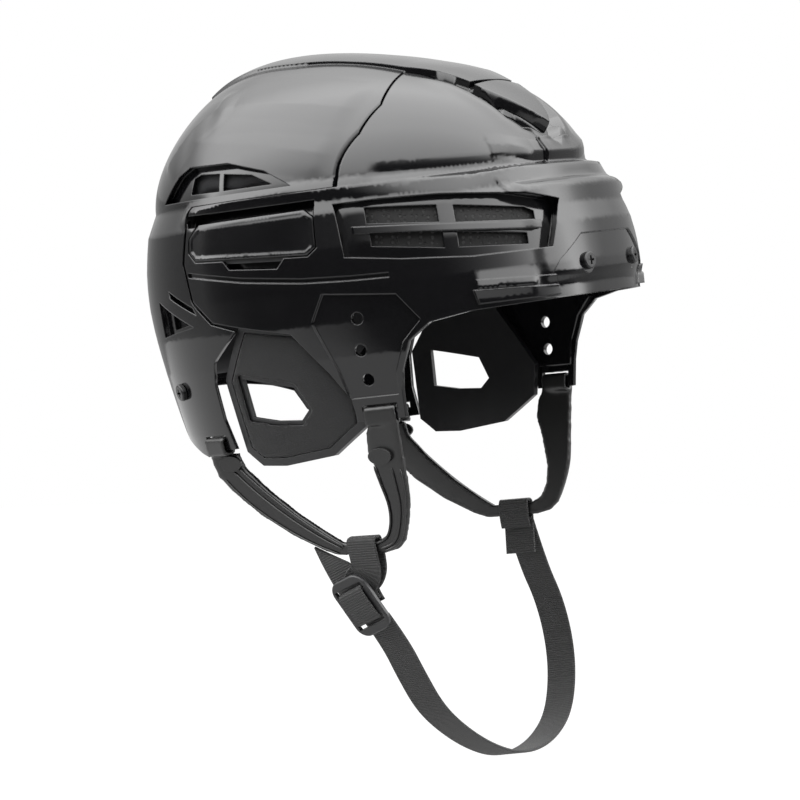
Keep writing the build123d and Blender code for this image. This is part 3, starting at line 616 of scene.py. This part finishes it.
def skin_value(points):
    """One on the outer skin, less inside it, for an array of belt frame points."""
    x, y, z = np.abs(points[:, 0]), points[:, 1], points[:, 2]
    rise = np.clip(z / CROWN_HEIGHT, 0, 1)
    centre = CENTRE_BACK + CROWN_DRIFT * rise**DRIFT_POWER
    down = np.clip(-z, 0, BAND_LEVELS[-1])
    width = np.interp(down, BAND_LEVELS, BAND_WIDTHS)
    front = np.interp(down, BAND_LEVELS, BAND_FRONTS)
    back = np.interp(down, BAND_LEVELS, BAND_BACKS)
    along = y - centre
    power = np.where(along < 0, FRONT_POWER, BACK_POWER)
    reach = np.where(along < 0, front, back)
    radial = ((x / width) ** power + (np.abs(along) / reach) ** power) ** (1 / power)
    above = np.clip(z, 0, None) / CROWN_HEIGHT
    return (radial**CROWN_POWER + above**CROWN_POWER) ** (1 / CROWN_POWER)


def skin_depth(points):
    """Depth under the outer skin and the skin's outward direction, by first order."""
    step = 0.5
    value = skin_value(points)
    slope = np.stack([(skin_value(points + step * axis) - skin_value(points - step * axis)) / (2 * step)
                      for axis in np.eye(3)], 1)
    size = np.linalg.norm(slope, axis=1)
    size[size < 1e-6] = 1e-6
    return (1 - value) / size, slope / size[:, None]


def to_line(points, line):
    """Distance of points from a line of points, its sign, and the share of the line's length."""
    best = np.full(len(points), 1e9)
    sign = np.zeros(len(points))
    share = np.zeros(len(points))
    line = np.asarray(line, float)
    lengths = np.concatenate([[0], np.cumsum(np.linalg.norm(np.diff(line, axis=0), axis=1))])
    for index in range(len(line) - 1):
        a, b = line[index], line[index + 1]
        edge = b - a
        t = np.clip(((points - a) @ edge) / (edge @ edge), 0, 1)
        offset = points - (a + t[:, None] * edge)
        distance = np.linalg.norm(offset, axis=1)
        near = distance < best
        best[near] = distance[near]
        sign[near] = np.sign(edge[0] * offset[near, 1] - edge[1] * offset[near, 0])
        share[near] = (lengths[index] + t[near] * np.linalg.norm(edge)) / lengths[-1]
    return best, sign, share


def step_up(value, low, high):
    """Smooth step from 0 at low to 1 at high."""
    t = np.clip((value - low) / (high - low), 0, 1)
    return t * t * (3 - 2 * t)


def ridge(points, line, height, half_width, fade=0.12, power=1.0):
    """Soft ridge over a line, which fades at both ends of it."""
    distance, _, share = to_line(points, line)
    ends = step_up(share, 0, fade) * step_up(1 - share, 0, fade)
    return height * np.clip(1 - distance / half_width, 0, 1) ** power * ends


# Crown strip: tables of a distance ahead of the belt frame's origin against a half width or a height.
STRIP_RISE = 1.8
STRIP_LOW, STRIP_REACH = 15, 40
STRIP_EDGE = ((20, 46, 76, 79, 112), (36, 33, 22, 23, 15))
STRIP_END = ((79, 90, 98, 104, 109), (26, 20, 13, 6, -3))
STRIP_HEIGHT = ((15, 41, 61, 79, 100), (1.8, 2.4, 3.7, 4.0, 4.2))
CREST = ((45, 58, 70, 85, 98, 104, 108, 112), (35, 33, 31.5, 31, 29, 23, 12, 2))
CREST_RISE, CREST_HALF_WIDTH = 0.9, 5
HOLLOW_SLOPE, HOLLOW_DEPTH = 0.62, 5
POINT_EDGE = 2.4


def crown_front(points, depth):
    """Strip of the crown with its pointed front end, between two hollows that end in a crest."""
    u, ahead, z = np.abs(points[:, 0]), -points[:, 1], points[:, 2]
    strip = np.clip(-depth / STRIP_RISE, 0, 1) * (z > STRIP_LOW) * (u < STRIP_REACH)
    pointed = step_up(np.interp(ahead, *STRIP_END) - u, -POINT_EDGE, POINT_EDGE)
    inside = np.where(ahead > STRIP_END[0][0], pointed, 1)
    crest = np.interp(ahead, *CREST)
    lift = strip * (np.interp(ahead, *STRIP_HEIGHT) * inside - STRIP_RISE)
    begins = step_up(ahead, 50, 72) * step_up(z, 8, 16)
    under = np.where(depth > 1, step_up(np.interp(ahead, *STRIP_EDGE) - u, -3, 0), strip)
    lift -= np.clip(HOLLOW_SLOPE * (crest - u - 1), 0, HOLLOW_DEPTH) * begins * (1 - under * inside)
    return lift + CREST_RISE * np.exp(-((u - crest - 2) / CREST_HALF_WIDTH) ** 2) * begins


# Lines of the ridges: seen from the side as (y, z), from the front as (x, z). With them, their heights,
# half widths and the share of their length over which they fade.
CROWN_CREASES = (
    ([(51, 48), (32, 49), (12, 48), (-13, 44), (-42, 38)], 1.4, 14),
    ([(62, 35), (32, 30), (5, 26), (-16, 21), (-37, 16)], 1.1, 13),
    ([(47, 60), (47, 50), (62, 41), (72, 30), (80, 20)], 1.2, 12),
)
BELT_LINE = [(57, -12), (53, -3), (25, 0), (-5, 0.5), (-38, -0.5), (-66, -2), (-91, -3.5), (-126, -3)]
BELT_RISE, BELT_RISE_AHEAD = 2.5, 2.2
BELT_GROOVE = ([(-50, 6), (-80, 4), (-126, 3)], 1.1, 5, 0.1)
BROW_FACET = ([(-97, -57), (-110, -57.5), (-122, -58)], 1.7, 7, 0.12)
PANEL_RIDGE = ([(58, -14), (34, -12.5), (12, -12), (-12, -12)], 2.6, 9, 0.01)
CROWN_FOOT = ([(50, 13), (41, 12), (24, 8), (12, 7), (-12, 7)], 2.0, 6, 0.01)
FRONT_BLOCK_RISE = 1.7
CARVED_DEPTH = 2.9


def sculpt(points, depth):
    """How far the skin stands proud of the plain one, in millimetres."""
    x, y, z = np.abs(points[:, 0]), points[:, 1], points[:, 2]
    side = np.stack([y, z], 1)
    front = np.stack([x, z], 1)
    crown = step_up(z, 2, 14)
    lift = 0
    for line, height, half_width in CROWN_CREASES:
        lift += ridge(side, line, height, half_width) * crown
    ahead = step_up(-y, 92, 108)
    lift += ridge(side, BELT_LINE, 1, 5.5, 0.05, 0.9) * (BELT_RISE + BELT_RISE_AHEAD * ahead)
    lift += ridge(side, *BROW_FACET)
    lift += ridge(front, *PANEL_RIDGE) * ahead
    block = step_up(56 - x, 0, 6) * step_up(-y, 96, 106) * step_up(-z, 6, 14) * step_up(z, -62, -54)
    lift += FRONT_BLOCK_RISE * block
    lift += ridge(front, *CROWN_FOOT) * ahead
    lift -= ridge(side, *BELT_GROOVE) * step_up(x, 38, 52)
    outer = step_up(CARVED_DEPTH - depth, 0, 1.2)
    return lift * outer + crown_front(points, depth)


LEVER_RIM = (
    (52.2, -16.2), (45.6, -10.5), (-18.5, -10), (-22.9, -13.5), (-22.9, -27.5),
    (-18.6, -30.4), (49.6, -26.4), (52.9, -22.5), (52.2, -16.2),
)
RIM_HEIGHT, RIM_HALF_WIDTH = 0.35, 1.3


def lever_rim(points, depth):
    """Thin raised rim round the lever's plate."""
    side = np.stack([points[:, 1], points[:, 2]], 1)
    distance = to_line(side, LEVER_RIM)[0]
    return RIM_HEIGHT * np.clip(1 - distance / RIM_HALF_WIDTH, 0, 1) * (depth < 0.5)


def tangent_slope(shape, points, depth, out):
    """Slope of a height over the skin, along the skin."""
    step = 0.4
    slope = np.stack([(shape(points + step * axis, depth) - shape(points - step * axis, depth)) / (2 * step)
                      for axis in np.eye(3)], 1)
    return slope - out * np.sum(slope * out, 1)[:, None]


SKIN_ANGLE = 26


def exact_normals(mesh, normals):
    """Corners of faces that lie along the skin take the skin's own direction."""
    count = len(mesh.loops)
    corner = np.empty(count, np.int64)
    mesh.loops.foreach_get("vertex_index", corner)
    faces = np.empty(len(mesh.polygons) * 3)
    mesh.polygons.foreach_get("normal", faces)
    face = np.repeat(faces.reshape(-1, 3), 3, axis=0)
    plain = np.empty(count * 3)
    mesh.corner_normals.foreach_get("vector", plain)
    plain = plain.reshape(-1, 3)
    wanted = normals[corner]
    along = np.sum(face * wanted, 1)
    wanted = np.where(along[:, None] < 0, -wanted, wanted)
    use = np.abs(along) > cos(radians(SKIN_ANGLE))
    mesh.normals_split_custom_set(np.where(use[:, None], wanted, plain).tolist())


INNER_DEPTH, INNER_SHARE = 2.6, 3
FRONT_REACH, FRONT_START, FRONT_LOW, FRONT_SHARE = 36, -62, 48, 0.4


def edge_limit(edge, layer, longest):
    """Longest that an edge may be: short on the sculpted front of the crown, long inside the shell."""
    if min(edge.verts[0][layer], edge.verts[1][layer]) > INNER_DEPTH:
        return INNER_SHARE * longest
    x, y, z = (edge.verts[0].co + edge.verts[1].co) / (2 * MM)
    in_front = abs(x) < FRONT_REACH and y < FRONT_START and z > FRONT_LOW
    return FRONT_SHARE * longest if in_front else longest


def fine_shell(name, longest, shape):
    """Finer copy of a shell's CAD mesh that lies on the curved skin, sculpted and smooth."""
    work = bmesh.new()
    work.from_mesh(nodes[name].data)
    bmesh.ops.remove_doubles(work, verts=work.verts, dist=0.004 * MM)
    bmesh.ops.triangulate(work, faces=work.faces)
    layer = work.verts.layers.float.new("depth")
    start = turned_to_belt([v.co for v in work.verts])
    depth, _ = skin_depth(start)
    for vertex, value in zip(work.verts, depth):
        vertex[layer] = value
    for _ in range(8):
        long_edges = [e for e in work.edges if e.calc_length() > edge_limit(e, layer, longest) * MM]
        if not long_edges:
            break
        bmesh.ops.subdivide_edges(work, edges=long_edges, cuts=1, use_grid_fill=False)
        bmesh.ops.triangulate(work, faces=[f for f in work.faces if len(f.verts) > 3])
    points = turned_to_belt([v.co for v in work.verts])
    wanted = np.array([v[layer] for v in work.verts])
    for _ in range(2):
        depth, out = skin_depth(points)
        points = points + out * np.clip(depth - wanted, -2, 2)[:, None]
    depth, out = skin_depth(points)
    normals = out - tangent_slope(shape, points, wanted, out)
    normals /= np.linalg.norm(normals, axis=1)[:, None]
    points = points + out * shape(points, wanted)[:, None]
    for vertex, place in zip(work.verts, turned_to_part(points)):
        vertex.co = place
    mesh = bpy.data.meshes.new(name + "_fine")
    work.to_mesh(mesh)
    work.free()
    smooth(mesh, 24)
    origin = turned_to_part(np.zeros((1, 3)))
    exact_normals(mesh, (turned_to_part(normals) - origin) / MM)
    obj = bpy.data.objects.new("fine_" + name, mesh)
    bpy.context.scene.collection.objects.link(obj)
    paint(obj, GLOSS)
    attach(obj, nodes[name]["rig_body"])
    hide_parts(name)


SHELL_EDGE, LEVER_EDGE = 2.6, 1.6
for name in ("front_shell", "rear_shell"):
    fine_shell(name, SHELL_EDGE, sculpt)
for name in ("right_lever", "left_lever"):
    fine_shell(name, LEVER_EDGE, lever_rim)


# Chin slings: the CAD outline with soft edges, and raised beads along its legs.

SLING_TURN = radians(3.8)
SLING_START = np.array((-93.767, -43.5, -115.5))
SLING_ALONG = np.array((sin(SLING_TURN), cos(SLING_TURN), 0))
SLING_UP = np.array((-0.17327, 0.01151, 0.98481))
SLING_IN = np.cross(SLING_ALONG, SLING_UP)


def sling_point(side, along, up, inward):
    """Point of a sling's plane, in metres, from the millimetres of its outline in the CAD source."""
    inwards = SLING_IN if SLING_IN[0] > 0 else -SLING_IN
    place = SLING_START + SLING_ALONG * (along - SLING_START[1]) + SLING_UP * (up - SLING_START[2])
    point = belt(place + inwards * inward)
    return Vector((point.x * -side, point.y, point.z))


def remeshed(name, sources, voxel, rounds, shrink=0.0):
    """Copies of CAD solids as one even mesh with soft edges."""
    work = bmesh.new()
    for source in sources:
        work.from_mesh(nodes[source].data)
    mesh = bpy.data.meshes.new(name)
    work.to_mesh(mesh)
    work.free()
    obj = bpy.data.objects.new(name, mesh)
    bpy.context.scene.collection.objects.link(obj)
    modifier = obj.modifiers.new("even", "REMESH")
    modifier.mode = "VOXEL"
    modifier.voxel_size = voxel * MM
    bake(obj)
    work = bmesh.new()
    work.from_mesh(obj.data)
    for _ in range(rounds):
        bmesh.ops.smooth_vert(work, verts=work.verts, factor=0.5,
                              use_axis_x=True, use_axis_y=True, use_axis_z=True)
    work.normal_update()
    for vertex in work.verts:
        vertex.co -= vertex.normal * shrink * MM
    work.to_mesh(obj.data)
    work.free()
    smooth(obj.data, 180)
    return obj


def bake(obj):
    """Apply every modifier of an object."""
    bpy.context.view_layer.update()
    shape = obj.evaluated_get(bpy.context.evaluated_depsgraph_get())
    mesh = bpy.data.meshes.new_from_object(shape)
    obj.modifiers.clear()
    old = obj.data
    obj.data = mesh
    bpy.data.meshes.remove(old)


BEAD_SIDES = 8
BEAD_END = 0.35


def bead(work, points, radius, out):
    """Round bead along points, half sunk in the face that they lie on, and small at both ends."""
    rings = []
    for index, point in enumerate(points):
        before, after = points[max(index - 1, 0)], points[min(index + 1, len(points) - 1)]
        along = (after - before).normalized()
        across = along.cross(out).normalized()
        size = radius * (BEAD_END if index in (0, len(points) - 1) else 1)
        angles = [2 * pi * k / BEAD_SIDES for k in range(BEAD_SIDES)]
        rings.append([work.verts.new(point + (across * cos(a) + out * sin(a)) * size) for a in angles])
    for a, b in zip(rings, rings[1:]):
        for k in range(BEAD_SIDES):
            after = (k + 1) % BEAD_SIDES
            work.faces.new((a[k], a[after], b[after], b[k]))
    work.faces.new(list(reversed(rings[0])))
    work.faces.new(rings[-1])


REAR_LEG_IN = [(52, -136), (49, -139.5), (37.6, -151), (20.8, -165.7), (3.6, -178), (-3, -181.8)]
REAR_LEG_OUT = [(63, -142.5), (58.5, -149), (45.5, -161.4), (28, -173.6), (10, -183), (1, -186.2)]
FRONT_LEG_OUT = [
    (-49.3, -144), (-49, -152), (-48, -160.6), (-44.8, -170.6),
    (-40.3, -180.6), (-35.5, -184.4), (-28, -186),
]
FRONT_LEG_IN = [
    (-32.5, -141), (-34, -150), (-36.6, -161), (-35.6, -170.6),
    (-31.7, -178.4), (-25, -181.5), (-20, -181.6),
]
# Each leg's beads: their places across the leg and their radii in millimetres.
REAR_BEADS = ((0.04, 0.8), (0.34, 0.75), (0.95, 0.6))
FRONT_BEADS = ((0.04, 0.8), (0.34, 0.75), (0.96, 0.6))
BEAD_INWARD = -2.0
SLING_VOXEL = 0.85


def between_lines(first, second, share):
    """Line at a share of the way from one line to another."""
    return [(a[0] + (b[0] - a[0]) * share, a[1] + (b[1] - a[1]) * share) for a, b in zip(first, second)]


def sling_piece(side_name, side):
    """Moulded sling, from its fold round the temple leg's bar to its fold on the rear shell."""
    name = side_name + "_sling_strap"
    obj = remeshed(name, [side_name + "_sling", side_name + "_sling_rear_end"], SLING_VOXEL, 3)
    out = (sling_point(side, 0, -160, -1) - sling_point(side, 0, -160, 0)).normalized()
    work = bmesh.new()
    work.from_mesh(obj.data)
    legs = ((REAR_LEG_IN, REAR_LEG_OUT, REAR_BEADS), (FRONT_LEG_OUT, FRONT_LEG_IN, FRONT_BEADS))
    for first, second, beads in legs:
        for share, radius in beads:
            line = [sling_point(side, a, b, BEAD_INWARD) for a, b in between_lines(first, second, share)]
            bead(work, spline_points(line, "bead_line"), radius * MM, out)
    work.to_mesh(obj.data)
    work.free()
    smooth(obj.data, 60)
    paint(obj, RUBBER)
    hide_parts(side_name + "_sling", side_name + "_sling_rear_end")
    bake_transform(obj)


for side_name, side in SIDES:
    sling_piece(side_name, side)


# Felt and foam: soft copies of the CAD solids. The liner's foams swell in a cloth simulation.

SHEET_VOXEL = 0.8
FELT_WAVE = 0.08


def felt_face(name):
    """Felt pressed on the ear guard, soft at its edge and a little uneven."""
    obj = remeshed(name + "_felt", [name], SHEET_VOXEL, 3)
    work = bmesh.new()
    work.from_mesh(obj.data)
    for vertex in work.verts:
        x, y, z = vertex.co / MM
        wave = sin(1.9 * y + 0.7 * z) * sin(2.3 * z - 0.6 * y + 0.2 * x)
        vertex.co += vertex.normal * FELT_WAVE * MM * wave
    work.to_mesh(obj.data)
    work.free()
    paint(obj, FELT)
    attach(obj, nodes[name]["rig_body"])
    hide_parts(name)


def vent_foam(name):
    """Perforated foam sheet behind the front vent, with painted light in its holes."""
    obj = remeshed(name + "_sheet", [name], SHEET_VOXEL, 2)
    paint(obj, PERFORATED_PAINTED_LIGHT)
    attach(obj, nodes[name]["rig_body"])
    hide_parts(name)


PAD_VOXEL = 4.5
PAD_SHRINK = 0.9
SWELL_CAP = 1.0
SWELL_PRESSURE = 4.0
SWELL_FRAMES = 20
TIGHT_PAD = "crown_front_foam"
TIGHT_SHRINK = 2.2
TIGHT_CAP = 0.2


def swell(pads):
    """Swells the pads in one cloth simulation, each point of them by no more than a cap."""
    starts = [[v.co.copy() for v in pad.data.vertices] for _, pad in pads]
    for _, pad in pads:
        cloth = pad.modifiers.new("swell", "CLOTH")
        cloth.settings.use_pressure = True
        cloth.settings.uniform_pressure_force = SWELL_PRESSURE
        cloth.settings.effector_weights.gravity = 0
        cloth.point_cache.frame_start = 1
        cloth.point_cache.frame_end = SWELL_FRAMES
    for frame_number in range(1, SWELL_FRAMES + 1):
        bpy.context.scene.frame_set(frame_number)
    for (name, pad), start in zip(pads, starts):
        bake(pad)
        cap = (TIGHT_CAP if name == TIGHT_PAD else SWELL_CAP) * MM
        for vertex, before in zip(pad.data.vertices, start):
            move = vertex.co - before
            if move.length > cap:
                move *= cap / move.length
            vertex.co = before + move
    bpy.context.scene.frame_set(1)


def foam_liner():
    """Every liner foam as a crowned pad. The rear shell slides close over the tight one."""
    shrinks = {name: TIGHT_SHRINK if name == TIGHT_PAD else PAD_SHRINK for name in FOAMS}
    pads = [(name, remeshed(name + "_pad", [name], PAD_VOXEL, 2, shrinks[name])) for name in FOAMS]
    swell(pads)
    for name, pad in pads:
        pad.modifiers.new("round", "SUBSURF").levels = 1
        bake(pad)
        smooth(pad.data, 180)
        paint(pad, FOAM)
        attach(pad, nodes[name]["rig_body"])
        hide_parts(name)


for side_name, side in SIDES:
    felt_face(side_name + "_ear_pad")
    vent_foam(side_name + "_vent_mesh")
foam_liner()


# Studio: lamps, floor and world.

LAMP_SIZE = 1.0
LAMP_TARGET = Vector((0, 0, -0.08))


def soft_lamp(name, place, power):
    """Square lamp that faces the object and doesn't show in its gloss."""
    data = bpy.data.lights.new(name, "AREA")
    data.shape = "RECTANGLE"
    data.size = data.size_y = LAMP_SIZE
    data.energy = power
    lamp = bpy.data.objects.new(name, data)
    bpy.context.scene.collection.objects.link(lamp)
    lamp.location = place
    lamp.rotation_euler = (LAMP_TARGET - place).to_track_quat("-Z", "Y").to_euler()
    lamp.visible_glossy = False


def camera_side(right, up, toward):
    """Point given to the right of, above and towards the camera from the object."""
    ahead = Vector((look.x, look.y, 0)).normalized()
    to_right = Vector((ahead.y, -ahead.x, 0))
    return to_right * right + Vector((0, 0, up)) - ahead * toward


soft_lamp("key", camera_side(-0.5, 1.5, 0.6), 16)
soft_lamp("fill", camera_side(1.3, 0.4, 0.9), 7)


def background_mix(tree, hidden, shown):
    """Shader that shows one thing to the camera and in reflections, and another to diffuse light."""
    path = tree.nodes.new("ShaderNodeLightPath")
    seen = sums(tree, "MAXIMUM", path.outputs["Is Camera Ray"], path.outputs["Is Transmission Ray"])
    seen = sums(tree, "MAXIMUM", seen, path.outputs["Is Glossy Ray"])
    mix = tree.nodes.new("ShaderNodeMixShader")
    tree.links.new(seen, mix.inputs[0])
    tree.links.new(hidden, mix.inputs[1])
    tree.links.new(shown, mix.inputs[2])
    return mix.outputs[0]


FLOOR_GLOW = 0.93


def floor_material():
    """Pale floor that shows white and keeps the object's shadow."""
    made = bpy.data.materials.new("floor")
    made.use_nodes = True
    tree = made.node_tree
    tree.nodes.clear()
    out = tree.nodes.new("ShaderNodeOutputMaterial")
    plain = tree.nodes.new("ShaderNodeBsdfDiffuse")
    plain.inputs["Color"].default_value = (0.75, 0.75, 0.75, 1)
    shadow = tree.nodes.new("ShaderNodeBsdfDiffuse")
    shadow.inputs["Color"].default_value = (0.30, 0.30, 0.30, 1)
    glow = tree.nodes.new("ShaderNodeEmission")
    glow.inputs["Color"].default_value = (1, 1, 1, 1)
    glow.inputs["Strength"].default_value = FLOOR_GLOW
    both = tree.nodes.new("ShaderNodeAddShader")
    tree.links.new(shadow.outputs[0], both.inputs[0])
    tree.links.new(glow.outputs[0], both.inputs[1])
    tree.links.new(background_mix(tree, plain.outputs[0], both.outputs[0]), out.inputs[0])
    return made


FLOOR_RADIUS = 1.2
FLOOR_HEIGHT = -0.30
FLOOR_SIDES = 64
floor_turns = [2 * pi * k / FLOOR_SIDES for k in range(FLOOR_SIDES)]
floor_rim = [(FLOOR_RADIUS * cos(turn), FLOOR_RADIUS * sin(turn), FLOOR_HEIGHT) for turn in floor_turns]
floor = mesh_object("floor", floor_rim, [tuple(range(FLOOR_SIDES))])
paint(floor, floor_material())


# Brightness of the studio in reflections, by the angle in degrees over the object, from the photograph's
# side of it (0) to behind it (180). Below it, the angles are negative.
STUDIO = (
    (-180, 0.4), (-90, 0.5), (-60, 0.3), (-20, 0.06), (8, 0.06), (17, 1.2), (28, 4.2),
    (55, 5.6), (80, 6.8), (100, 6.2), (124, 4.6), (140, 2.2), (156, 1), (180, 0.6),
)
STUDIO_PEAK = 8.0
WORLD_LIGHT = 0.3


def studio_brightness(tree):
    """Soft overhead light that fades to the white background behind and to dark on the camera's side."""
    place = tree.nodes.new("ShaderNodeTexCoord")
    toward = tree.nodes.new("ShaderNodeVectorMath")
    toward.operation = "DOT_PRODUCT"
    toward.inputs[1].default_value = (camera_side(0, 0, 1) - camera_side(0, 0, 0)).normalized()
    parts = tree.nodes.new("ShaderNodeSeparateXYZ")
    tree.links.new(place.outputs["Generated"], toward.inputs[0])
    tree.links.new(place.outputs["Generated"], parts.inputs[0])
    angle = sums(tree, "ARCTAN2", parts.outputs["Z"], toward.outputs["Value"])
    ramp = tree.nodes.new("ShaderNodeValToRGB")
    stops = ramp.color_ramp.elements
    while len(stops) < len(STUDIO):
        stops.new(0.5)
    for stop, (degrees, value) in zip(stops, STUDIO):
        stop.position = (degrees + 180) / 360
        stop.color = (value / STUDIO_PEAK,) * 3 + (1,)
    tree.links.new(spread(tree, angle, 0, 1, -pi, pi), ramp.inputs[0])
    return sums(tree, "MULTIPLY", ramp.outputs[0], STUDIO_PEAK)


def white_world():
    """World that is white to the camera, a studio in reflections, and dim as a light."""
    world = bpy.data.worlds.new("studio")
    bpy.context.scene.world = world
    world.use_nodes = True
    tree = world.node_tree
    tree.nodes.clear()
    path = tree.nodes.new("ShaderNodeLightPath")
    shades = []
    for strength in (WORLD_LIGHT, 1.0, studio_brightness(tree)):
        shade = tree.nodes.new("ShaderNodeBackground")
        shade.inputs["Color"].default_value = (1, 1, 1, 1)
        if isinstance(strength, float):
            shade.inputs["Strength"].default_value = strength
        else:
            tree.links.new(strength, shade.inputs["Strength"])
        shades.append(shade.outputs[0])
    seen = sums(tree, "MAXIMUM", path.outputs["Is Camera Ray"], path.outputs["Is Transmission Ray"])
    for chosen, shade in ((seen, shades[1]), (path.outputs["Is Glossy Ray"], shades[2])):
        mix = tree.nodes.new("ShaderNodeMixShader")
        tree.links.new(chosen, mix.inputs[0])
        tree.links.new(shades[0], mix.inputs[1])
        tree.links.new(shade, mix.inputs[2])
        shades[0] = mix.outputs[0]
    out = tree.nodes.new("ShaderNodeOutputWorld")
    tree.links.new(shades[0], out.inputs[0])


white_world()
